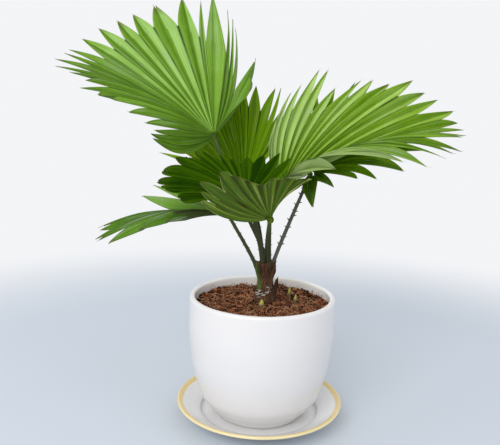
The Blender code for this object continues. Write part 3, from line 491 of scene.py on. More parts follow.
class Recipe:
    """A material in the making. Most methods add a node and return its output."""

    def __init__(self, name: str) -> None:
        """Starts from a Principled material."""
        self.material = bpy.data.materials.new(name)
        self.material.use_nodes = True
        self.tree = self.material.node_tree
        self.shader = self.tree.nodes["Principled BSDF"]

    def add(
        self, kind: str, inputs: dict[int | str, Value | Hue], output: int | str = 0, **settings: str,
    ) -> Signal:
        """Adds a node.

        Args:
            kind: the node's type, after the words ShaderNode.
            inputs: a socket's name or number to a signal to link, or to a constant.
            output: the output to return.
            settings: the node's own settings.

        Returns:
            The chosen output.
        """
        node = self.tree.nodes.new("ShaderNode" + kind)
        for setting, value in settings.items():
            setattr(node, setting, value)
        for place, value in inputs.items():
            self.feed(node.inputs[place], value)
        return Signal(self, node.outputs[output])

    def feed(self, socket: bpy.types.NodeSocket, value: Value | Hue) -> None:
        """Links a signal to a socket, or sets its constant."""
        if isinstance(value, Signal):
            self.tree.links.new(value.socket, socket)
        elif socket.type == "RGBA":
            socket.default_value = (*value, 1.0)
        else:
            socket.default_value = value

    def math(self, operation: str, a: Value, b: Value = 0.0) -> Signal:
        """Any sum of two numbers."""
        return self.add("Math", {0: a, 1: b}, operation=operation)

    def place(self) -> Signal:
        """Object coordinates, in metres."""
        return self.add("TexCoord", {}, "Object")

    def parts(self, vector: Signal) -> list[Signal]:
        """A vector's three numbers."""
        return [Signal(self, part) for part in self.add("SeparateXYZ", {0: vector}).socket.node.outputs]

    def from_axis(self) -> tuple[Signal, Signal]:
        """The distance from the upright axis, and the height."""
        x, y, z = self.parts(self.place())
        return self.math("SQRT", x * x + y * y), z

    def grain(self) -> list[Signal]:
        """The two numbers of the piece's grain map."""
        return self.parts(self.add("UVMap", {}, uv_map="grain"))[:2]

    def mark(self, name: str) -> Signal:
        """A value that the mesh holds at each point."""
        return self.add("Attribute", {}, "Fac", attribute_name=name)

    def step(self, value: Signal, low: float, high: float) -> Signal:
        """Goes smoothly from 0 where value is low to 1 where it is high."""
        ends = {"Value": value, "From Min": low, "From Max": high}
        return self.add("MapRange", ends, interpolation_type="SMOOTHSTEP")

    def noise(self, vector: Signal, scale: float, detail: float = 2.0, rough: float = 0.5) -> Signal:
        """Cloudy values from 0 to 1."""
        return self.add("TexNoise", {"Vector": vector, "Scale": scale, "Detail": detail, "Roughness": rough})

    def flecks(self, across: float, along: float, shift: Value, detail: float, rough: float = 0.5) -> Signal:
        """Noise that follows the grain map.

        Args:
            across: how many flecks there are to one unit of grain x.
            along: how many there are to one unit of grain y.
            shift: a number that gives each piece flecks of its own.
            detail: how many finer layers the noise has.
            rough: how strong they are.

        Returns:
            Values from 0 to 1.
        """
        x, y = self.grain()
        spread = self.add("CombineXYZ", {0: across * x, 1: along * y, 2: shift})
        return self.noise(spread, 1.0, detail, rough)

    def mix(self, share: Value, a: Hue, b: Hue) -> Signal:
        """The colour a, going over to b as share goes from 0 to 1."""
        return self.add("Mix", {0: share, 6: a, 7: b}, 2, data_type="RGBA")

    def tones(self, value: Signal, colour: Hue, *steps: tuple[float, float, Colour]) -> Signal:
        """The colour, going over to each step's own as value passes from its low to its high."""
        for low, high, other in steps:
            colour = self.mix(self.step(value, low, high), colour, other)
        return colour

    def ramp(self, value: Signal, stops: tuple[tuple[float, Colour], ...]) -> Signal:
        """The colour at a value, between stops of a place and a colour each."""
        ramp = self.add("ValToRGB", {0: value})
        elements = ramp.socket.node.color_ramp.elements
        while len(elements) < len(stops):
            elements.new(0.5)
        for element, (place, colour) in zip(elements, stops):
            element.position, element.color = place, (*colour, 1.0)
        return ramp

    def relief(self, height: Signal, depth: float, strength: float) -> None:
        """Shades the surface as if it rose by depth, in metres, as height goes from 0 to 1."""
        bump = self.add("Bump", {"Height": height, "Distance": depth, "Strength": strength})
        self.feed(self.shader.inputs["Normal"], bump)

    def done(self, colour: Hue, roughness: Value, **others: Value | Hue) -> bpy.types.Material:
        """Feeds the shader's colour, its roughness, and other sockets by name, with _ for a space."""
        self.feed(self.shader.inputs["Base Color"], colour)
        self.feed(self.shader.inputs["Roughness"], roughness)
        for name, value in others.items():
            self.feed(self.shader.inputs[name.replace("_", " ")], value)
        return self.material


@dataclass(frozen=True)
class LeafFinish:
    """A fan's finish: greens from painted shade to a painted highlight by the painted light on a pleat, and
    dry tips.
    """

    name: str
    slot: str = "leaf_green"
    # The greens from dark to gleam are picked by the painted light: dark is painted shade and gleam a painted
    # highlight.
    dark: Colour = (0.010, 0.038, 0.002)
    middle: Colour = (0.085, 0.200, 0.016)
    bright: Colour = (0.170, 0.335, 0.042)
    gleam: Colour = (0.330, 0.530, 0.150)
    under: Colour = (0.060, 0.120, 0.020)
    rib: Colour = (0.30, 0.44, 0.11)
    pale: Colour = (0.36, 0.45, 0.20)
    # Painted shade in the folds between segments over their joined part: its colour, strength and width.
    crease_shade: Colour = (0.018, 0.050, 0.006)
    crease_shade_share: float = 0.75
    crease_shade_from: float = 0.78
    dry: Colour = (0.085, 0.070, 0.028)
    margin: Colour = (0.12, 0.12, 0.05)
    margin_share: float = 0.40
    # The colour of a painted fold near the hub: a painted shade, streaked with the underside's colour.
    fold: Colour | None = None
    rib_share: float = 0.5
    # Painted sheen: the colour and share of pale patches of painted reflection.
    sheen: Colour = (0.26, 0.345, 0.20)
    sheen_share: float = 0.45
    # How much painted shade darkens the leaf towards the hub; below zero it is painted light there.
    inner_shade: float = 0.12
    streak: float = 0.75
    dry_share: float = 0.55
    gloss: float = 0.09
    roughness: float = 0.34

    def light(self, r: Recipe, streaks: Signal, threads: Signal, clouds: Signal) -> Signal:
        """The painted light on the leaf, from 0 to 1, by which its greens are chosen.

        A pleat is painted lit on the side past its middle line, and painted in shade over the other side. The
        leaf is painted darker inwards, in painted shade, and its streaks, threads and clouds and the
        segment's own number vary it.

        Args:
            r: the material in the making.
            streaks: broad streaks along the grain.
            threads: fine ones.
            clouds: soft patches.

        Returns:
            The painted light.
        """
        across, along = r.grain()
        # Painted light and shade: the mark light by place, and past each pleat's middle line a painted
        # highlight as strong as the mark gleam, with painted shade over the rest.
        past_middle = r.math("FRACT", r.math("FRACT", across) + 0.48)
        lit = r.step(past_middle, 0.0, 0.12) * (1 - r.step(past_middle, 0.30, 0.92))
        caught = r.mark("light") + r.mark("gleam") * (lit - 0.45)
        # Painted shade towards the hub.
        caught += self.inner_shade * (r.step(along, 0.15, 0.70) - 1)
        caught += self.streak * (streaks - 0.5) + 0.35 * (clouds - 0.5)
        return caught + 0.22 * (threads - 0.5) + 0.10 * (r.mark("number") - 0.5)

    def build(self) -> bpy.types.Material:
        """The material. Across a segment, grain x runs over one whole number, and y runs along it."""
        r = Recipe(self.name)
        across, along = r.grain()
        number, free = r.mark("number"), r.mark("free")
        streaks = r.flecks(16.0, 1.1, number, 3.0, 0.62)
        threads = r.flecks(75.0, 2.0, number, 1.0)
        clouds = r.noise(r.place(), 38.0)
        # Greens from painted shade to a painted highlight, by the painted light.
        greens = ((0.0, self.dark), (0.4, self.middle), (0.72, self.bright), (1.0, self.gleam))
        top = r.ramp(self.light(r, streaks, threads, clouds), greens)
        # Painted sheen: patches of painted reflection where broad flecks and streaks meet, away from the hub.
        wide = r.step(r.flecks(2.2, 2.5, number, 2.0), 0.50, 0.66)
        sheen = wide * r.step(streaks, 0.42, 0.60) * r.step(along, 0.25, 0.6)
        top = r.mix(self.sheen_share * sheen, top, self.sheen)
        colour = r.mix(0.85 * r.mark("under"), top, r.mix(streaks, self.under, top))
        colour = r.mix(0.8 * r.mark("pale"), colour, r.mix(streaks, self.pale, self.under))
        # A painted fold near the hub: painted shade streaked with the underside's colour.
        if self.fold:
            colour = r.mix(r.mark("folded"), colour, r.mix(streaks, self.fold, self.under))
        from_middle = r.math("ABSOLUTE", 2 * r.math("FRACT", across) - 1)
        rib = (1 - r.step(from_middle, 0.0, 0.10)) * (1 - 0.75 * r.step(along, 0.05, 0.80))
        colour = r.mix(self.rib_share * rib, colour, self.rib)
        # Painted shade in the folds between segments, in patches by streaks and clouds.
        worn = r.step(streaks + 0.8 * clouds, 0.55, 1.15) * (1.6 * self.crease_shade_share)
        crease_shade = r.step(from_middle, self.crease_shade_from, 1.0) * (1 - free) * worn
        colour = r.mix(crease_shade, colour, self.crease_shade)
        margin = free * r.step(from_middle, 0.88, 1.0)
        colour = r.mix(self.margin_share * margin, colour, self.margin)
        dry = r.step(along + 0.12 * clouds, 0.97, 1.06)
        colour = r.mix(self.dry_share * dry, colour, self.dry)
        r.relief(0.6 * threads + streaks, 0.00025, 0.55)
        return r.done(colour, self.roughness + 0.16 * streaks, Specular_IOR_Level=self.gloss,
                      Subsurface_Weight=0.15, Subsurface_Radius=(0.5, 1.0, 0.12), Subsurface_Scale=0.0010)


@dataclass(frozen=True)
class StalkFinish:
    """A stalk's finish: brown at its foot, olive higher up and green at the fan, with dark thorns."""

    name: str
    foot: Colour = (0.034, 0.026, 0.012)
    fresh: Colour = (0.060, 0.150, 0.016)
    middle: Colour = (0.032, 0.042, 0.012)
    top: Colour = (0.050, 0.085, 0.014)
    streak: Colour = (0.07, 0.08, 0.03)
    worn: Colour = (0.120, 0.120, 0.100)
    thorn: Colour = (0.020, 0.022, 0.012)

    def build(self) -> bpy.types.Material:
        """The material. Grain x runs round the stalk and y along it."""
        r = Recipe(self.name)
        streaks = r.flecks(9.0, 6.0, 0.0, 3.0, 0.6)
        height = r.grain()[1] + 0.25 * (streaks - 0.5)
        foot = r.mix(r.mark("fresh"), self.foot, self.fresh)
        colour = r.tones(height, foot, (0.0, 0.35, self.middle), (0.6, 1.05, self.top))
        colour = r.mix(0.25 * r.step(streaks, 0.5, 0.75), colour, self.streak)
        colour = r.mix(r.mark("worn") * (0.5 + 0.6 * streaks), colour, self.worn)
        colour = r.mix(r.mark("thorn"), colour, self.thorn)
        r.relief(streaks, 0.0002, 0.6)
        return r.done(colour, 0.40 + 0.2 * streaks, Specular_IOR_Level=0.12)


@dataclass(frozen=True)
class GlazeFinish:
    """White glaze, with what is painted or caught on it."""

    name: str
    white: Colour = (0.75, 0.735, 0.735)
    bisque: Colour = (0.62, 0.56, 0.48)
    roughness: float = 0.24

    def start(self) -> tuple[Recipe, Signal]:
        """The recipe, and its even white with faint clouds."""
        r = Recipe(self.name)
        clouded = tuple(0.94 * c for c in self.white)
        r.relief(r.noise(r.place(), 90.0, 1.0), 0.0002, 0.10)
        return r, r.mix(0.5 * r.noise(r.place(), 28.0), self.white, clouded)

    def finished(self, r: Recipe, colour: Signal, rough: Value) -> bpy.types.Material:
        """The material with its coat of glass."""
        return r.done(colour, rough, Coat_Weight=0.35, Coat_Roughness=0.10)


@dataclass(frozen=True)
class PotFinish(GlazeFinish):
    """The pot's glaze: painted light whitens the inner wall, crumbs of soil sit on it over the soil, and the
    foot is bare.
    """

    soil_height: float = 0.1225
    crumb: Colour = (0.11, 0.055, 0.03)
    # Painted light: the inner wall is painted whiter than the glaze outside, to lift it out of its shade.
    inner: Colour = (0.90, 0.89, 0.87)
    film: Colour = (0.42, 0.34, 0.27)
    film_share: float = 0.12
    bare_to: float = 0.0056

    def build(self) -> bpy.types.Material:
        """The material."""
        r, white = self.start()
        _, z = r.from_axis()
        inside = r.mark("inner")
        near_soil = 1 - r.step(z, self.soil_height + 0.0005, self.soil_height + 0.009)
        level = r.noise(r.place(), 620.0, 1.0) + 0.13 * near_soil
        crumbs = r.step(level, 0.755, 0.80) * inside * r.step(near_soil, 0.0, 0.2)
        # The inner wall's painted light, then the soil crumbs.
        colour = r.mix(crumbs, r.mix(inside, white, self.inner), self.crumb)
        film = inside * near_soil * r.noise(r.place(), 160.0, 3.0)
        colour = r.mix(self.film_share * film, colour, self.film)
        colour = r.mix(1 - r.step(z, self.bare_to, self.bare_to + 0.0010), colour, self.bisque)
        return self.finished(r, colour, self.roughness + 0.5 * crumbs)


@dataclass(frozen=True)
class SaucerFinish(GlazeFinish):
    """The saucer's glaze, with a painted yellow band inside the rim, a pale edge on it and a bare foot."""

    band: Colour = (0.74, 0.54, 0.17)
    edge: Colour = (0.78, 0.68, 0.40)
    band_from: float = 0.0803
    band_to: float = 0.0857
    band_over: tuple[float, float] = (0.0125, 0.0140)
    edge_over: tuple[float, float] = (0.0165, 0.0178)
    wobble: float = 0.0011
    bare_to: float = 0.0002

    def build(self) -> bpy.types.Material:
        """The material. The band's ends wobble, and its brush marks follow the turn round the axis."""
        r, white = self.start()
        radius, z = r.from_axis()
        wobbly = radius + self.wobble * (r.noise(r.place(), 45.0, 3.0) - 0.5)
        band = r.step(wobbly, self.band_from, self.band_from + 0.0005) * r.step(z, *self.band_over)
        marks = r.add("CombineXYZ", {0: 1600.0 * radius, 1: 900.0 * z})
        colour = r.mix(band, white, r.mix(0.4 * r.noise(marks, 1.0), self.band, self.edge))
        lip = r.step(wobbly, self.band_to, self.band_to + 0.0004) * r.step(z, *self.edge_over)
        colour = r.mix(lip, colour, self.edge)
        colour = r.mix(1 - r.step(z, self.bare_to, self.bare_to + 0.0004), colour, self.bisque)
        return self.finished(r, colour, self.roughness)


@dataclass(frozen=True)
class EarthFinish:
    """Coir, bark and other rough brown stuff: three tones, by lump and by piece."""

    name: str
    dark: Colour
    middle: Colour
    light: Colour
    lump: float = 260.0
    clods: float = 1.1
    depth: float = 0.0006
    roughness: float = 0.92

    def build(self) -> bpy.types.Material:
        """The material. A piece's own number shifts its tone, and so do clods seen from above."""
        r = Recipe(self.name)
        x, y, _ = r.parts(r.place())
        lumps = r.noise(r.place(), self.lump, 4.0, 0.65)
        clods = r.noise(r.add("CombineXYZ", {0: x, 1: y}), 85.0)
        tone = 0.62 * lumps + 0.50 * r.mark("number") + self.clods * (clods - 0.5)
        colour = r.tones(tone, self.dark, (0.30, 0.58, self.middle), (0.55, 0.88, self.light))
        r.relief(lumps + 0.4 * r.noise(r.place(), 5.0 * self.lump), self.depth, 0.8)
        return r.done(colour, self.roughness, Specular_IOR_Level=0.06)


@dataclass(frozen=True)
class FibreFinish:
    """Thin fibres, each in its own tone between two colours."""

    name: str
    dark: Colour
    light: Colour
    roughness: float = 0.8

    def build(self) -> bpy.types.Material:
        """The material."""
        r = Recipe(self.name)
        mottle = r.noise(r.place(), 700.0)
        tone = 0.75 * r.mark("number") + 0.4 * mottle
        r.relief(mottle, 0.0001, 0.5)
        return r.done(r.tones(tone, self.dark, (0.15, 0.95, self.light)), self.roughness)


@dataclass(frozen=True)
class BarkFinish:
    """Old leaf bases: brown fibres running up, and green where a living sheath clasps the trunk."""

    name: str
    dark: Colour = (0.028, 0.014, 0.008)
    brown: Colour = (0.080, 0.034, 0.015)
    straw: Colour = (0.22, 0.12, 0.055)
    green: Colour = (0.050, 0.135, 0.016)

    def build(self) -> bpy.types.Material:
        """The material. Grain x runs round the trunk, in fibres, and y up it."""
        r = Recipe(self.name)
        number = r.mark("number")
        fibres = r.flecks(34.0, 2.6, number, 4.0, 0.7)
        patches = r.noise(r.place(), 190.0, 3.0)
        tone = 0.7 * fibres + 0.35 * patches + 0.22 * number
        colour = r.tones(tone, self.dark, (0.42, 0.66, self.brown), (0.66, 0.95, self.straw))
        colour = r.mix(r.mark("green") * r.step(fibres, 0.25, 0.6), colour, self.green)
        r.relief(fibres + 0.4 * patches, 0.0007, 0.9)
        return r.done(colour, 0.82, Specular_IOR_Level=0.3)


@dataclass(frozen=True)
class ShootFinish:
    """Young shoots: yellow-green at their tips and brown scales at their feet."""

    name: str
    foot: Colour = (0.12, 0.07, 0.025)
    tip: Colour = (0.36, 0.36, 0.05)

    def build(self) -> bpy.types.Material:
        """The material. Grain y runs from the soil to the tip."""
        r = Recipe(self.name)
        streaks = r.flecks(12.0, 3.0, r.mark("number"), 3.0)
        height = r.grain()[1] + 0.5 * (streaks - 0.5)
        r.relief(streaks, 0.0003, 0.7)
        return r.done(r.tones(height, self.foot, (0.35, 0.72, self.tip)), 0.5)


class Tone(Enum):
    """The fans' finishes: copies of one leaf with painted light and shade, by how each is lit and which side
    it shows.
    """

    BRIGHT = LeafFinish("leaf_bright", middle=(0.100, 0.215, 0.010), bright=(0.182, 0.350, 0.036))
    YELLOW = LeafFinish(
        "leaf_yellow_green", "leaf_yellow_green", middle=(0.122, 0.250, 0.007), bright=(0.225, 0.385, 0.028),
        gleam=(0.38, 0.56, 0.16), under=(0.27, 0.38, 0.12), rib=(0.38, 0.54, 0.13), rib_share=0.75,
        inner_shade=0.25, streak=1.0,
    )
    # Painted light: a brighter copy for the fronds that stand in shade.
    SHADED = LeafFinish(
        "leaf_shaded", "leaf_dark_green", dark=(0.010, 0.040, 0.001), middle=(0.108, 0.225, 0.003),
        bright=(0.205, 0.360, 0.010), gleam=(0.34, 0.50, 0.06), rib=(0.18, 0.29, 0.02),
        dry=(0.07, 0.045, 0.015), gloss=0.0, streak=1.0, sheen_share=0.2,
    )
    # Painted shade: a darker copy for the middle frond, which stands in shade.
    DEEP = LeafFinish(
        "leaf_deep_green", "leaf_dark_green", dark=(0.008, 0.035, 0.001), middle=(0.058, 0.135, 0.002),
        bright=(0.13, 0.25, 0.01), gleam=(0.22, 0.36, 0.05), rib=(0.05, 0.12, 0.005),
        crease_shade=(0.006, 0.018, 0.001), margin=(0.06, 0.09, 0.01), dry_share=0.25, gloss=0.0,
        sheen_share=0.0, inner_shade=0.0,
    )
    OLIVE = LeafFinish(
        "leaf_olive", "leaf_olive", dark=(0.008, 0.022, 0.000), middle=(0.052, 0.105, 0.001),
        bright=(0.15, 0.205, 0.014), gleam=(0.34, 0.38, 0.15), rib=(0.27, 0.32, 0.08),
        margin=(0.34, 0.34, 0.14), margin_share=0.75, streak=2.5, dry_share=0.35,
        crease_shade=(0.018, 0.013, 0.002), crease_shade_share=0.65, crease_shade_from=0.50, gloss=0.04,
        sheen_share=0.20, inner_shade=-0.05,
    )
    # Its sheen is a painted reflection and its fold colour a painted shade.
    LOWER = LeafFinish(
        "leaf_lower", middle=(0.080, 0.190, 0.008), gleam=(0.26, 0.38, 0.11), under=(0.055, 0.075, 0.020),
        sheen=(0.28, 0.33, 0.26), sheen_share=0.6, fold=(0.018, 0.030, 0.006),
    )


# The saucer, the pot and what fills it


class Rough:
    """A part with a relief and random draws of its own."""

    seed: int

    def __post_init__(self) -> None:
        """Prepares both."""
        self.relief = Grain(self.seed)
        self.draw = np.random.default_rng(self.seed)

    def each(self, low: float, high: float, count: int) -> Array:
        """A random number from low to high for each of many, as a column."""
        return self.draw.uniform(low, high, (count, 1))


@dataclass
class Saucer:
    """The shallow saucer, with a stepped well for the pot and a rounded rim."""

    node: str = "saucer"
    foot_radius: float = 0.050
    well_floor: float = 0.005
    well_radius: float = 0.0585
    edge_radius: float = 0.0625
    edge_height: float = 0.0095
    soft_edge: float = 0.001
    slope: tuple[float, float] = (0.0740, 0.0138)
    rim_round: float = 0.0016
    underside: Stations = ((0.0760, 0.0112), (0.0640, 0.0048), (0.0520, 0.0008))
    sides: int = 180

    def profile(self) -> Array:
        """The section: the well and its step, the slope, the rim's arc and the underside, all eased."""
        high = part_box(self.node)[1]
        middle = (high.x - self.rim_round, high.z - self.rim_round)
        turn = np.radians(np.linspace(125, -55, 17))
        rim = middle + self.rim_round * stacked(np.cos(turn), np.sin(turn))
        top = [
            (0.0, self.well_floor),
            (0.5 * self.well_radius, self.well_floor),
            (self.well_radius, self.well_floor),
            (self.edge_radius - 1.5 * self.soft_edge, self.well_floor + self.soft_edge),
            (self.edge_radius - 0.5 * self.soft_edge, self.edge_height - self.soft_edge),
            (self.edge_radius + self.soft_edge, self.edge_height),
            self.slope,
            tuple(rim[0]),
        ]
        foot = [(share * self.foot_radius, 0.0) for share in (1.0, 0.6, 0.0)]
        under = [tuple(rim[-1]), *self.underside, *foot]
        return np.concatenate([rounded(top, 0.003)[:-1], rim, rounded(under, 0.004)[1:]])

    def build(self) -> None:
        """Makes the saucer."""
        finish = SaucerFinish("saucer_glaze", white=(0.79, 0.79, 0.79)).build()
        turned(self.profile(), self.sides).made("saucer_body", "saucer_glaze", finish, self.node)


@dataclass
class Pot:
    """The tapered pot, with a rounded lip, a soft turn into its foot, and a drain hole."""

    node: str = "pot"
    outside: Stations = (
        (0.0053, 0.0440), (0.0090, 0.0475), (0.0120, 0.0500), (0.0180, 0.0554), (0.0280, 0.0624),
        (0.0450, 0.0678), (0.0700, 0.0727), (0.1000, 0.0750), (0.1290, 0.0748),
    )
    rim_height: float = 0.1328
    wall: float = 0.0055
    floor: float = 0.006
    fillet: tuple[float, float] = (0.006, 0.012)
    lip_round: float = 0.0028
    drain_radius: float = 0.007
    sides: int = 200
    levels: int = 70

    def outer(self, height: Array) -> Array:
        """The outer radius at a height."""
        return smoothly(self.outside, height)

    def inner(self, height: Array) -> Array:
        """The inner radius: the outer less the wall and a fillet that grows as a square to the floor."""
        depth, tall = self.fillet
        turn = np.clip((height - self.floor_top()) / tall, 0, 1)
        return self.outer(height) - self.wall - depth * (1 - turn) ** 2

    def floor_top(self) -> float:
        """Height of the floor inside."""
        return self.outside[0][0] + self.floor

    def profile(self) -> Array:
        """The section: up the inside, over the lip's half circle, down the outside and back under."""
        foot, lip_base = self.outside[0][0], self.rim_height - self.lip_round
        up = self.floor_top() + (lip_base - self.floor_top()) * np.linspace(0, 1, self.levels) ** 1.4
        down = foot + (lip_base - foot) * np.linspace(1, 0, self.levels) ** 1.6
        turn = np.linspace(np.pi, 0, 15)[1:-1]
        outer_edge, inner_edge = self.outer(lip_base), self.inner(lip_base)
        middle, half = 0.5 * (outer_edge + inner_edge), 0.5 * (outer_edge - inner_edge)
        lip = stacked(middle + half * np.cos(turn), lip_base + self.lip_round * np.sin(turn))
        return np.concatenate([
            [(self.drain_radius, self.floor_top())],
            stacked(self.inner(up), up),
            lip,
            stacked(self.outer(down), down),
            [(0.8 * self.outside[0][1], foot), (self.drain_radius, foot)],
        ])

    def build(self) -> None:
        """Makes the pot."""
        finish = PotFinish("pot_glaze").build()
        shape = turned(self.profile(), self.sides)
        away = np.hypot(shape.points[:, 0], shape.points[:, 1])
        shape.marks["inner"] = (away < self.outer(shape.points[:, 2]) - 0.5 * self.wall).astype(float)
        shape.made("pot_body", "pot_glaze", finish, self.node)


@dataclass
class Soil(Rough):
    """The coir in the pot: a lumpy bed, loose chips, curled fibres and dark crumbs.

    Its lumps are of three kinds, each with a height, a size and a number of layers.
    """

    pot: Pot
    node: str = "soil"
    height: float = 0.1225
    lumps: tuple[tuple[float, float, int], ...] = (
        (0.0016, 0.011, 2), (0.0010, 0.0050, 1), (0.0009, 0.0022, 2),
    )
    heap: float = 0.003
    heap_radius: float = 0.030
    gap: float = 0.0003
    middle_x: float = 0.0028
    rings: int = 96
    sides: int = 180
    chips: int = 1500
    dark_crumbs: int = 620
    fibres: int = 760
    seed: int = 11

    def __post_init__(self) -> None:
        """Prepares the relief, the random draws and the radius."""
        super().__post_init__()
        self.radius = float(self.pot.inner(np.array(self.height))) - 0.0002

    def top(self, x: Array, y: Array) -> Array:
        """The soil's height: broad lumps, fine grit, and a heap round the trunk."""
        place = stacked(x, y, 0.0)
        broad, small, fine = (high * self.relief.at(place, *kind) for high, *kind in self.lumps)
        near = np.clip(1 - np.hypot(x - self.middle_x, y) / self.heap_radius, 0, 1)
        return self.height + (broad + small) + fine + self.heap * near**1.3

    def bed(self) -> Shape:
        """The closed body of the soil: a turned solid whose top rings are lifted to the soil's height."""
        share = np.linspace(0, 1, self.rings + 1)[1:]
        down = np.linspace(self.height - 0.006, self.pot.floor_top() + self.gap, 12)
        side = stacked(self.pot.inner(down) - self.gap, down)
        top = stacked(share * self.radius, self.height)
        profile = np.concatenate([[(0.0, self.height)], top, side, [(0.0, down[-1])]])
        shape = turned(profile, self.sides)
        on_top = np.r_[0:self.rings * self.sides, len(shape.points) - 2]
        shape.points[on_top, 2] = self.top(*shape.points[on_top, :2].T)
        shape.marks["number"] = 0.3 + 0.25 * self.relief.at(shape.points, 0.006, 2)
        return shape

    def spots(self, count: int, edge: float = 0.97, trunk: float = 0.0115) -> Array:
        """Random places on the soil, clear of the trunk, as (count, 3) points on its surface."""
        turn = self.draw.uniform(0, 2 * np.pi, count)
        reach = self.radius * edge * np.sqrt(self.draw.uniform(0.0, 1, count))
        x, y = reach * np.cos(turn), reach * np.sin(turn)
        away = np.hypot(x - self.middle_x, y)
        push = np.maximum(trunk / np.maximum(away, 1e-6), 1)
        x, y = self.middle_x + (x - self.middle_x) * push, y * push
        return stacked(x, y, self.top(x, y))

    def crumbs(self, count: int, size: tuple[float, float], flat: float) -> Shape:
        """Loose chips: balls of twenty faces, stretched, dented and turned at random.

        Args:
            count: how many.
            size: smallest and largest half length.
            flat: thickness over length.

        Returns:
            All the chips as one shape.
        """
        golden = (1 + math.sqrt(5)) / 2
        ball = unit(np.array([(a, b * golden, 0) for a in (-1, 1) for b in (-1, 1)], float))
        ball = np.concatenate([ball, np.roll(ball, 1, 1), np.roll(ball, 2, 1)])
        near = np.linalg.norm(ball[:, None] - ball[None], axis=-1) < 1.1
        corners = len(ball)
        faces = np.array([(i, j, k) for i in range(corners) for j in range(i) for k in range(j)
                          if near[i, j] and near[j, k] and near[i, k]])
        inward = np.linalg.det(ball[faces]) < 0
        faces[inward] = faces[inward][:, [0, 2, 1]]
        half = self.draw.uniform(*size, (count, 1, 1))
        wide = self.draw.uniform(0.4, 0.9, count)
        stretch = stacked(1.0, wide, self.draw.uniform(0.6, 1.3, count) * flat)
        points = ball * self.draw.uniform(0.75, 1.2, (count, corners, 1)) * stretch[:, None] * half
        turn = np.linalg.qr(self.draw.normal(size=(count, 3, 3)) + 1.5 * np.eye(3))[0]
        turn *= np.sign(np.linalg.det(turn))[:, None, None]
        points = np.einsum("nij,npj->npi", turn, points) + self.spots(count)[:, None]
        points[..., 2] += 0.25 * half[..., 0]
        number = np.repeat(self.draw.uniform(0, 1, count), corners)
        triangles = (faces[None] + corners * np.arange(count)[:, None, None]).reshape(-1, 3)
        return Shape(points.reshape(-1, 3), np.empty((0, 4), int), triangles, None, {"number": number})

    def curls(self, count: int, length: tuple[float, float], lift: float, thick: float) -> Shape:
        """Fibres that lie on the soil in arcs, risen by a half sine over their length and sunk at the ends.

        Args:
            count: how many.
            length: shortest and longest.
            lift: how high the highest stands off the soil.
            thick: radius of the thickest.

        Returns:
            All the fibres as one shape.
        """
        places = 9
        start = self.spots(count, 0.90)
        share = np.linspace(0, 1, places)[None]
        long = self.each(*length, count)
        heading = self.each(0, 2 * np.pi, count) + self.draw.normal(0, 1.5, (count, 1)) * share
        heading += 0.5 * np.sin(2 * np.pi * (share + self.each(0, 1, count)))
        step = long / (places - 1)
        x = start[:, :1] + np.cumsum(np.cos(heading) * step, 1)
        y = start[:, 1:2] + np.cumsum(np.sin(heading) * step, 1)
        reach = np.hypot(x, y)
        inside = np.minimum(1, (self.radius - 0.0006) / reach)
        x, y = x * inside, y * inside
        rise = lift * self.each(0.05, 1, count) ** 2 * np.sin(np.pi * share) ** 0.8
        z = self.top(x, y) + rise + 0.0002 - 0.0006 * (2 * share - 1) ** 6
        radii = thick * self.each(0.4, 1, count) * (1 - 0.6 * np.abs(2 * share - 1) ** 3)
        return tubes(stacked(x, y, z), radii, 4, facing=(0.02, 0.05, 1.0))

    def build(self) -> None:
        """Makes the bed, the chips and the fibres."""
        coir = EarthFinish("coir_bed", (0.012, 0.004, 0.002), (0.135, 0.036, 0.013), (0.34, 0.12, 0.045))
        chips = EarthFinish("coir_chips", (0.016, 0.006, 0.003), (0.19, 0.050, 0.018), (0.48, 0.19, 0.080),
                            lump=420.0, depth=0.0003)
        dark = EarthFinish("dark_crumbs", (0.006, 0.004, 0.003), (0.020, 0.010, 0.007),
                           (0.05, 0.026, 0.016), lump=500.0, depth=0.0003)
        fibre = FibreFinish("coir_fibres", (0.16, 0.050, 0.020), (0.62, 0.33, 0.17))
        self.bed().made("soil_bed", "coir_soil", coir.build(), self.node)
        self.crumbs(self.chips, (0.0006, 0.0022), 0.45).made("soil_chips", "coir_soil", chips.build())
        self.crumbs(self.dark_crumbs, (0.0007, 0.0022), 0.7).made("soil_crumbs", "coir_soil", dark.build())
        curls = self.curls(self.fibres, (0.006, 0.024), 0.0050, 0.00025)
        curls.made("soil_fibres", "coir_soil", fibre.build())


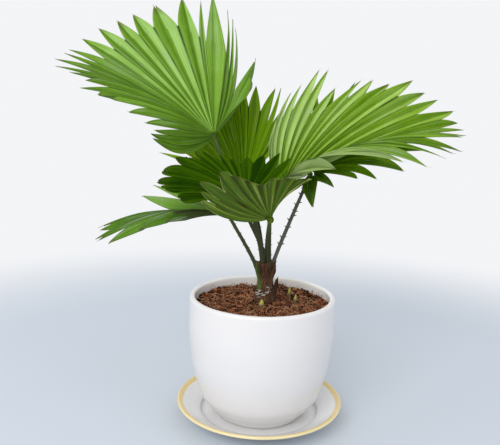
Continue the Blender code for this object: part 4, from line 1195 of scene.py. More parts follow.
@dataclass
class Trunk(Rough):
    """The trunk: a ridged stub in torn old leaf bases, with hairs, a clasping sheath and thin white threads.

    A base is given by its degrees round the trunk, the heights of its root and tip, and its tip's distance
    from the axis. So is the living one. What is added to these for a shorter base is in beside.
    """

    node: str = "trunk"
    middle_x: float = 0.0028
    profile: Stations = (
        (0.0800, 0.0060), (0.0860, 0.0095), (0.0950, 0.0108), (0.1290, 0.0108), (0.1360, 0.0098),
        (0.1430, 0.0079), (0.1500, 0.0070), (0.1570, 0.0076), (0.1630, 0.0088), (0.1670, 0.0098),
    )
    old_bases: tuple[tuple[float, float, float, float], ...] = (
        (-25, 0.126, 0.1490, 0.0128), (-62, 0.126, 0.1440, 0.0120), (-100, 0.127, 0.1400, 0.0116),
        (12, 0.128, 0.1500, 0.0133), (60, 0.127, 0.1460, 0.0125), (115, 0.127, 0.1440, 0.0118),
        (165, 0.128, 0.1400, 0.0116), (215, 0.127, 0.1420, 0.0112),
    )
    base_width: float = 0.0085
    beside: tuple[float, float, float, float] = (18, -0.004, -0.005, -0.0008)
    beside_width: float = 0.0075
    top_bases: int = 7
    living: tuple[float, float, float, float] = (208, 0.138, 0.1672, 0.0112)
    living_width: float = 0.0110
    grain_step: float = 0.04
    sides: int = 120
    levels: int = 110
    seed: int = 23

    def radius(self, height: Array) -> Array:
        """The trunk's radius at a height."""
        return smoothly(self.profile, height)

    def round_to(self, turn: Array, height: Array, away: Array) -> Array:
        """Points at an angle and a height, at a distance from the trunk's axis."""
        return stacked(self.middle_x + away * np.cos(turn), away * np.sin(turn), height)

    def stub(self) -> Shape:
        """The body: a turned solid with upright ridges, rough all over and ragged at its top."""
        foot, top = self.profile[0][0], self.profile[-1][0]
        height = np.linspace(foot, top, self.levels)
        rings = stacked(self.radius(height), height)
        cap = [(0.7 * rings[-1, 0], top - 0.001), (0.35 * rings[-1, 0], top - 0.0025), (0.0, top - 0.003)]
        shape = turned(np.concatenate([[(0.0, foot)], rings, cap]), self.sides)
        points = shape.points
        turn = np.arctan2(points[:, 1], points[:, 0])
        broad = 0.0004 * np.cos(9 * turn + 70 * points[:, 2])
        ridge = broad + 0.0003 * np.cos(23 * turn - 40 * points[:, 2])
        rough = 0.0007 * self.relief.at(points * (1, 1, 0.3), 0.0028, 3)
        out = np.hypot(points[:, 0], points[:, 1])
        scale = 1 + (ridge + rough) / np.maximum(out, 0.003)
        shape.points = points * stacked(scale, scale, 1.0) + (self.middle_x, 0, 0)
        near_top = eased(points[:, 2], top - 0.004, top)
        shape.points[:, 2] += near_top * 0.0016 * self.relief.at(points * (1, 1, 0), 0.003, 2)
        shape.grain = stacked(np.abs(turn) / np.pi, points[:, 2] / self.grain_step)
        shape.marks["number"] = 0.35 + 0.3 * self.relief.at(points, 0.008, 2)
        return shape

    def sheath(
        self, degrees: float, low: float, high: float, reach: float, width: float, number: float,
        green: float = 0.0,
    ) -> Shape:
        """One old leaf base: a strip that clasps the trunk below and leans out to a torn tip.

        Across the strip the angle goes from one side to the other, and up it the distance from the axis
        goes smoothly from the trunk's surface to reach. Its width shrinks to the tip, and each column ends
        at its own height, by the relief.

        Args:
            degrees: the strip's angle round the trunk.
            low: height of its root.
            high: height of its tip.
            reach: the tip's distance from the axis.
            width: its width at the root.
            number: a number from 0 to 1 that shifts its tone.
            green: 1 on a living sheath.

        Returns:
            The closed strip.
        """
        columns, rows = 15, 22
        across = np.linspace(-1, 1, columns)[None]
        up = np.linspace(0, 1, rows)[:, None]
        torn = 0.16 * self.relief.at(stacked(across * 3 + 9 * number, 0.0, 0.0), 1.0, 3)
        height = low + (high - low) * up * (1 - 0.35 * across**2 + torn)
        lean = up**2
        away = (1 - lean) * (self.radius(height) + 0.0004) + lean * reach
        half = 0.5 * width / away * (1 - 0.55 * up)
        angle = math.radians(degrees) + across * half
        threads = stacked(across * 9 + 7 * number, up * 1.2, 0.0)
        fibre = 0.00018 * self.relief.at(threads, 1.0, 2)
        points = self.round_to(angle, height, away + fibre - 0.0006 * across**2 * (1 - up)).reshape(-1, 3)
        normals = stacked(np.cos(angle), np.sin(angle), 0.0).reshape(-1, 3)
        grain = stacked(0.5 + across * half / 3, height / self.grain_step).reshape(-1, 2)
        marks = {"number": np.full(len(points), number), "green": np.full(len(points), green)}
        thick = np.broadcast_to(0.0010 - 0.0006 * up, (rows, columns)).ravel()
        strip = Shape(points, grid_quads(rows, columns), grain=grain, marks=marks)
        return strip.thickened(normals, thick).outward()

    def sheaths(self) -> Shape:
        """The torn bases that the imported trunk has, shorter ones between and above, and a living one."""
        made = []
        for i, base in enumerate(self.old_bases):
            other = [a + b for a, b in zip(base, self.beside)]
            made.append(self.sheath(*base, self.base_width, (0.37 * i) % 1))
            made.append(self.sheath(*other, self.beside_width, (0.61 * i + 0.2) % 1))
        for i in range(self.top_bases):
            degrees = math.degrees(2 * math.pi * i / self.top_bases + 0.3)
            low, high = 0.144 + 0.001 * (i % 3), 0.1675 - 0.0015 * (i % 2)
            made.append(self.sheath(degrees, low, high, 0.0104, self.base_width, (0.43 * i + 0.1) % 1))
        made.append(self.sheath(*self.living, self.living_width, 0.7, green=1.0))
        return made[0].with_(*made[1:])

    def hairs(self, count: int = 170) -> Shape:
        """Loose fibres that stand off the torn bases, each an arc that leans out and droops a little."""
        share = np.linspace(0, 1, 7)[None]
        turn = self.each(0, 2 * np.pi, count)
        low = self.each(0.127, 0.160, count)
        long = self.each(0.003, 0.010, count)
        lean = self.each(0.05, 0.75, count)
        height = np.minimum(low + long * (share - 0.25 * lean * share**2), 0.1685)
        away = self.radius(height) + 0.0003 + 0.55 * lean * long * share**1.5
        angle = turn + self.draw.normal(0, 0.25, (count, 1)) * share**2
        radii = 0.00017 * self.each(0.5, 1, count) * (1 - 0.75 * share)
        return tubes(self.round_to(angle, height, away), radii, 4, facing=(0.3, 0.2, 1.0))

    def white_threads(self, count: int = 16) -> Shape:
        """Thin white threads that wander over the front of the trunk's foot."""
        share = np.linspace(0, 1, 9)[None]
        turn = np.radians(self.each(-135, -55, count))
        low = self.each(0.1320, 0.1435, count)
        heading = self.each(-0.9, 0.9, count)
        wander = 0.12 * np.sin(2 * np.pi * (1.3 * share + self.each(0, 1, count)))
        angle = turn + 0.55 * heading * share + wander
        height = low + self.each(-0.004, 0.004, count) * share
        away = self.radius(height) + 0.0016 + 0.0006 * np.sin(3 * np.pi * share)
        radii = 0.00016 + 0.00010 * self.each(0, 1, count) * np.sin(np.pi * share)
        return tubes(self.round_to(angle, height, away), radii, 4, facing=(0.3, 0.2, 1.0))

    def build(self) -> None:
        """Makes the stub, its bases, hairs and white threads."""
        bark = BarkFinish("trunk_bark").build()
        hair = FibreFinish("trunk_hairs", (0.07, 0.03, 0.012), (0.40, 0.24, 0.12))
        white = FibreFinish("pale_threads", (0.62, 0.58, 0.50), (0.82, 0.80, 0.74), 0.6)
        self.stub().made("trunk_stub", "trunk_fibre", bark, self.node)
        self.sheaths().made("trunk_sheaths", "trunk_fibre", bark)
        self.hairs().made("trunk_hairs", "trunk_fibre", hair.build())
        self.white_threads().made("trunk_white_threads", "trunk_fibre", white.build())


@dataclass(frozen=True)
class Shoot:
    """One young shoot in the soil: where it stands, its tip's height, its radius and its lean to +X."""

    node: str
    x: float
    y: float
    top: float
    radius: float
    lean: float
    soil: float = 0.1225
    foot: float = 0.112
    sides: int = 28

    def build(self, finish: bpy.types.Material) -> None:
        """Makes the shoot: a turned spear, with a seam that winds up it between two folded scales."""
        share = np.linspace(0, 1, 36)
        height = self.soil + (self.top - self.soil) * share
        wide = self.radius * (1 - 0.28 * share - 0.70 * share**3) * (1 + 0.10 * np.sin(np.pi * share))
        low = [(0.0, self.foot), (self.radius, self.foot + 0.0005), (self.radius, self.soil - 0.002)]
        shape = turned(np.concatenate([low, stacked(wide, height), [(0.0, self.top)]]), self.sides)
        turn = np.arctan2(shape.points[:, 1], shape.points[:, 0])
        up = np.clip((shape.points[:, 2] - self.soil) / (self.top - self.soil), 0, 1)
        seam = np.modf(turn / np.pi + 1.4 * up + 2)[0]
        scale = 1 + 0.12 * (1 - eased(seam, 0.0, 0.45)) * up * (1 - up) * 3 + 0.03 * np.cos(11 * turn)
        shape.points[:, :2] *= scale[:, None]
        shape.points += stacked(self.x + self.lean * up**2, self.y, 0.0)
        shape.grain = stacked(np.abs(turn) / np.pi, up)
        shape.marks["number"] = np.full(len(up), self.lean * 700 % 1)
        shape.made(self.node + "_spear", "young_shoot", finish, self.node)


# Fronds


@dataclass(frozen=True)
class Segments:
    """What the free parts of a fan's segments start from, one row a segment.

    The start holds the numbers that the cut's points have in the sheet, and the spread their places from
    the middle one.
    """

    place: Array
    reach: Array
    cut: Array
    drop: Array
    side: Array
    length: Array
    sway: Array
    droop: Array
    number: Array
    start: Array
    spread: Array


@dataclass
class Frond:
    """One frond: the route of its stalk, and how far the segments of its fan reach.

    A row of tips holds a segment's number and where its tip lies from the hub. A place across the fan
    goes from 0 to 1 over its segments, and a share goes from 0 at the hub to 1 at a tip.
    """

    node: str
    tone: Tone
    foot: Point
    rise: Point
    lead: Point
    hub: Point
    segments: int
    tips: tuple[tuple[float, float, float, float], ...]
    joined: Stations
    arch: Stations
    bow: Point
    stalk_radius: float = 0.0019
    thorns: int = 4
    fullness: float = 0.5
    seed: int = 1
    split: float = 0.90
    wildness: float = 0.5
    taper_power: Stations = ((0, 1), (1, 1))
    # Painted light and shade across the fan by place, together with the fan's own tone.
    light: Stations = ((0, 0.5), (1, 0.5))
    # How strong the painted highlight on the lit side of each pleat is, by place.
    gleam: Stations = ((0, 0.1), (1, 0.1))
    pale: Stations = ((0, 0), (1, 0))
    # How far from the hub a painted fold in painted shade reaches, by place.
    folded: Stations = ((0, 0), (1, 0))
    fold_edge: float = 0.03
    fold_steps: tuple[float, ...] = (0.0, 0.045, 0.12, 0.25, 0.38, 0.46)
    inner_rows: int = 30
    free_rows: int = 18
    split_rows: int = 5
    pleat_slope: float = 0.70
    soft_fold: float = 0.07
    blade_start: float = 0.0038
    blade_thickness: float = 0.00045
    tip_gap: float = 0.27
    thorny: tuple[float, float] = (0.34, 0.93)
    thorn_size: float = 0.0012
    thorn_root: float = 0.0006
    fresh: float = 0.0
    worn: float = 0.15
    hub_radius: float = 0.0030
    hub_height: float = 0.0016
    upper_side_away: bool = False
    clasps: bool = False

    def __post_init__(self) -> None:
        """Prepares what every part of the fan reads."""
        self.draw = np.random.default_rng(self.seed)
        tips = np.array(self.tips)
        self.places, self.reach = (tips[:, 0] + 0.5) / self.segments, tips[:, 1:]
        self.bow_way = unit(np.array(self.bow, float))

    def surface(self, place: Array, share: Array) -> Array:
        """Points of the smooth surface that the fan follows.

        A point is the hub, plus the share of the tip's reach, plus a bow: four times the arch, the length
        and the share times what is left of it, square to the segment.
        """
        place, share = np.broadcast_arrays(np.asarray(place, float), np.asarray(share, float))
        reach = smooth_between(self.places, self.reach, place)
        length = np.linalg.norm(reach, axis=-1, keepdims=True)
        along = reach / length
        bow = self.bow_way - (along @ self.bow_way)[..., None] * along
        rise = 4 * smoothly(self.arch, place)[..., None] * length * (share - share**2)[..., None]
        return np.array(self.hub) + share[..., None] * reach + rise * bow

    def facing(self, place: Array, share: Array) -> Array:
        """Unit normals of the smooth surface, from small steps over it."""
        small = 0.001
        over = self.surface(place + small, share) - self.surface(place - small, share)
        out = self.surface(place, share + small) - self.surface(place, np.maximum(share - small, small))
        return unit(np.cross(over, out))

    def fold(self, across: Array) -> Array:
        """Height of a pleat for the distance from its middle line, 0 to 1, rounded at both folds.

        It is the distance itself, from which two hyperbolas take the corners, less a half.
        """
        soft = self.soft_fold
        near_middle = np.sqrt(across**2 + soft**2)
        near_joint = np.sqrt((1 - across) ** 2 + soft**2) - (1 - across)
        return near_middle - near_joint - 0.5

    def columns(self) -> Array:
        """Places of the columns inside a segment, from 0 to just under 1, close together at the folds."""
        half = np.array(self.fold_steps)
        return np.concatenate([half, [0.5], 1 - half[:0:-1]])

    def free_line(self, seg: "Segments", tau: Array) -> tuple[Array, Array, Array, Array]:
        """The free part's middle lines.

        Args:
            seg: what the segments' cuts hold.
            tau: (segments, rows), from 0 at the cut to 1 at the tip.

        Returns:
            The middle lines, the normals, the tapers and the shares of the segments' lengths.
        """
        along = seg.cut[:, None] + (1 - seg.cut[:, None]) * tau * seg.length[:, None]
        place = seg.place[:, None] + 0 * tau
        line, out = self.surface(place, along), self.facing(place, along)
        bend = (1 - seg.cut[:, None]) * seg.reach[:, None] * tau**2
        sway, droop = seg.sway[:, None, None], seg.droop[:, None, None]
        line += bend[..., None] * (sway * seg.side[:, None] + droop * out)
        taper = (1 - tau) ** straight(self.taper_power, place) * (1 + self.fullness * tau)
        return line + seg.drop[:, None] * taper[..., None], out, taper, along

    def lay_joined(self, sheet: Sheet) -> Segments:
        """Lays the part of the fan where its segments are joined.

        Each column follows the smooth surface at its place up to the cut, lifted by the fold times half the
        segment's width.

        Args:
            sheet: the sheet that takes the points.

        Returns:
            What the free parts start from.
        """
        n, inside = self.segments, self.columns()
        m = len(inside)
        place = np.append((np.arange(n)[:, None] + inside).ravel(), n) / n
        inner = self.blade_start / np.linalg.norm(smooth_between(self.places, self.reach, place), axis=-1)
        depth = 1 + 0.05 * self.wildness * self.draw.normal(size=n + 1)
        cut = smoothly(self.joined, place) * np.interp(place * n, np.arange(n + 1), depth)
        cut = np.clip(cut, 0.2, 0.93)
        share = inner + (cut - inner) * np.linspace(0, 1, self.inner_rows)[:, None] ** 1.1
        place = np.broadcast_to(place, share.shape)
        normal = self.facing(place, share)
        sideways = self.surface(place + 0.5 / n, share) - self.surface(place - 0.5 / n, share)
        half = 0.5 * np.linalg.norm(sideways, axis=-1)
        across = np.abs(2 * (place * n % 1) - 1)
        lift = self.pleat_slope * half * self.fold(across)
        joined = self.surface(place, share) + normal * lift[..., None]
        number = self.draw.uniform(0, 1, n)
        every = np.append(np.repeat(number, m), number[-1])
        index = sheet.lay(joined, normal, place * n, share, 0.0, every)
        sheet.weave(index)

        columns = np.arange(n)[:, None] * m + np.arange(m + 1)
        section, middle = joined[-1][columns], m // 2
        place, cut = (np.arange(n) + 0.5) / n, cut[columns[:, middle]]
        return Segments(
            place=place,
            reach=np.linalg.norm(smooth_between(self.places, self.reach, place), axis=-1),
            cut=cut,
            drop=section[:, middle] - self.surface(place, cut),
            side=unit(section[:, -1] - section[:, 0]),
            length=1 + 0.03 * self.wildness * self.draw.normal(size=n),
            sway=0.03 * self.wildness * self.draw.normal(size=n),
            droop=0.04 * self.wildness * self.draw.normal(size=n),
            number=number,
            start=index[-1][columns],
            spread=section - section[:, middle, None],
        )

    def lay_free(self, sheet: Sheet, seg: Segments) -> None:
        """Lays the free parts of the segments.

        Past the cut a segment keeps the cut's section, drawn to its middle line by a taper. Near the tip
        its two halves part, and each ends in a point.

        Args:
            sheet: the sheet that takes the points.
            seg: what the free parts start from.
        """
        n, m = self.segments, seg.spread.shape[1] - 1
        middle, number = m // 2, seg.number[:, None, None]
        parted = np.clip(self.split + 0.04 * self.draw.normal(size=n), 0.75, 0.97)[:, None]
        tau = parted * np.linspace(0, 1, self.free_rows + 1)[1:]
        line, out, taper, along = self.free_line(seg, tau)
        body = line[:, :, None] + taper[..., None, None] * seg.spread[:, None]
        grain_x = np.arange(n)[:, None, None] + np.arange(m + 1) / m
        index = sheet.lay(body, out[:, :, None], grain_x, along[..., None], 1.0, number)
        sheet.weave(np.concatenate([seg.start[:, None], index], 1))

        step = np.linspace(0, 1, self.split_rows + 1)[1:]
        line, out, taper, along = self.free_line(seg, parted + (1 - parted) * step)
        apart = (taper + self.tip_gap * step**2)[..., None]
        gather = ((1 - step**1.3) * taper)[..., None, None]
        for first in (0, middle):
            pick, centre = np.arange(first, first + middle + 1), first + middle // 2
            heart = seg.spread[:, None, centre]
            spine = line + heart * apart
            body = spine[:, :, None] + gather * (seg.spread[:, None, pick] - heart[:, :, None])
            sides = grain_x[..., pick]
            rows = sheet.lay(body[:, :-1], out[:, :-1, None], sides, along[:, :-1, None], 1.0, number)
            rows = np.concatenate([index[:, -1:, pick], rows], 1)
            sheet.weave(rows)
            tips = sheet.lay(spine[:, -1], out[:, -1], grain_x[:, 0, centre], along[:, -1], 1.0, seg.number)
            sheet.close(rows[:, -1], tips)

    def blade(self) -> Shape:
        """The pleated fan, made thin and closed, with its marks."""
        sheet = Sheet()
        self.lay_free(sheet, self.lay_joined(sheet))
        shape = sheet.made_thick(self.blade_thickness, self.upper_side_away)
        place, share = shape.grain[:, 0] / self.segments, shape.grain[:, 1]
        # The marks light and gleam carry the painted light, shade and highlight, by place.
        for mark in ("light", "gleam", "pale"):
            shape.marks[mark] = straight(getattr(self, mark), place)
        # Where the painted fold in painted shade lies.
        past = share - straight(self.folded, place)
        shape.marks["folded"] = np.clip(0.5 - past / self.fold_edge, 0, 1)
        return shape

    def route(self, share: Array) -> Array:
        """The stalk's middle line: a cubic curve from its foot to the hub, through two guide places."""
        t = np.asarray(share, float)[..., None]
        foot, rise, lead, hub = (np.array(stop) for stop in (self.foot, self.rise, self.lead, self.hub))
        return (1 - t) ** 3 * foot + 3 * t * (1 - t) ** 2 * rise + 3 * t**2 * (1 - t) * lead + t**3 * hub

    def radius(self, share: Array) -> Array:
        """The stalk's half width at a share of its way."""
        return self.stalk_radius * (1.12 - 0.24 * share)

    def stem(self, rings: int = 56, sides: int = 18) -> Shape:
        """The stalk: an oval with a shallow groove on its front, wider at its foot if it clasps the trunk."""
        share = np.linspace(0, 1, rings)
        middle = self.route(share)
        along = unit(np.gradient(middle, axis=0))
        side, up = crosswise(along)
        width, depth = self.radius(share), 0.82 * self.radius(share)
        if self.clasps:
            clasp = np.clip(1 - share / 0.3, 0, 1) ** 0.7
            round_trunk = unit(np.cross(along, np.array([-1.0, 0, 0])))
            side = unit((1 - clasp)[:, None] * side + clasp[:, None] * round_trunk)
            up = unit(np.cross(side, along))
            width, depth = width * (1 + 0.9 * clasp), depth * (1 - 0.1 * clasp)
        cos, sin, grain = circle(sides)
        groove = 1 - 0.22 * np.exp(-((cos / 0.35) ** 2)) * (sin > 0)
        smooth = hoops(middle, side, up, width[:, None] * cos, depth[:, None] * sin * groove)
        bumps = 0.05 * Grain(self.seed + 40).at(smooth * (1, 1, 0.5), 0.0030, 2)
        rough = middle[:, None] + (smooth - middle[:, None]) * (1 + bumps[..., None])
        return lofted(rough[None], np.stack(np.meshgrid(grain, share), -1)[None])

    def spines(self, sides: int = 8, places: int = 7) -> Shape:
        """Thorns on both edges of the stalk, each a cone that curves towards the foot at its tip."""
        share = np.concatenate([np.linspace(*self.thorny, self.thorns) + shift for shift in (0.0, 0.02)])
        way = np.repeat([-1.0, 1.0], self.thorns)[:, None]
        share = share + 0.012 * self.draw.normal(size=share.shape)
        here = self.route(share)
        along = unit(self.route(share + 0.01) - here)
        side = crosswise(along)[0] * way
        size = self.thorn_size * self.draw.uniform(0.8, 1.15, (len(share), 1))
        step = np.linspace(0, 1, places)
        root = self.radius(share)[:, None] - self.thorn_root
        path = here[:, None] + side[:, None] * (root + (size + self.thorn_root) * step)[..., None]
        path = path + along[:, None] * (size * (0.15 * step + 0.45 * step**2))[..., None]
        radii = 0.36 * size * (1 - step) ** 0.8 + 0.00006
        shape = tubes(path, radii, sides, 0.75)
        up_it = np.concatenate([np.tile(np.repeat(step, sides), len(share)), 0 * share, 1 + 0 * share])
        shape.marks = {"thorn": eased(up_it, 0.1, 0.6)}
        return shape

    def knuckle(self, rings: int = 18, sides: int = 32) -> Shape:
        """The small ridged body where the stalk meets the fan: a flat ball across the fan's normal."""
        facing = self.facing(np.array(0.5), np.array(0.3))
        side = unit(np.cross(facing, np.array([0.3, 0.2, 1.0])))
        up = np.cross(side, facing)
        tilt = np.pi * (np.arange(rings) + 0.5) / rings
        cos, sin, grain = circle(sides)
        ridge = 1 + 0.05 * np.cos(8 * 2 * np.pi * np.arange(sides) / sides) * np.sin(tilt)[:, None] ** 2
        flat = self.hub_radius * np.sin(tilt)[:, None] * ridge
        points = hoops(np.array(self.hub), side, up, flat * cos, flat * sin)
        points += facing * (self.hub_height * np.cos(tilt))[:, None, None]
        ball = lofted(points[None], stacked(grain, 0.1))
        # The knuckle gets a fixed, dark level of the painted light.
        ball.marks["light"] = np.full(len(ball.points), 0.3)
        return ball

    def build(self, leaf: bpy.types.Material, bark: bpy.types.Material) -> None:
        """Makes the fan and its stalk."""
        slot = self.tone.value.slot
        self.blade().with_(self.knuckle()).made(self.node + "_fan", slot, leaf, self.node)
        stem = self.stem()
        for mark in ("fresh", "worn"):
            stem.marks[mark] = np.full(len(stem.points), getattr(self, mark))
        stem.with_(self.spines()).made(self.node + "_stalk", slot, bark, self.node)


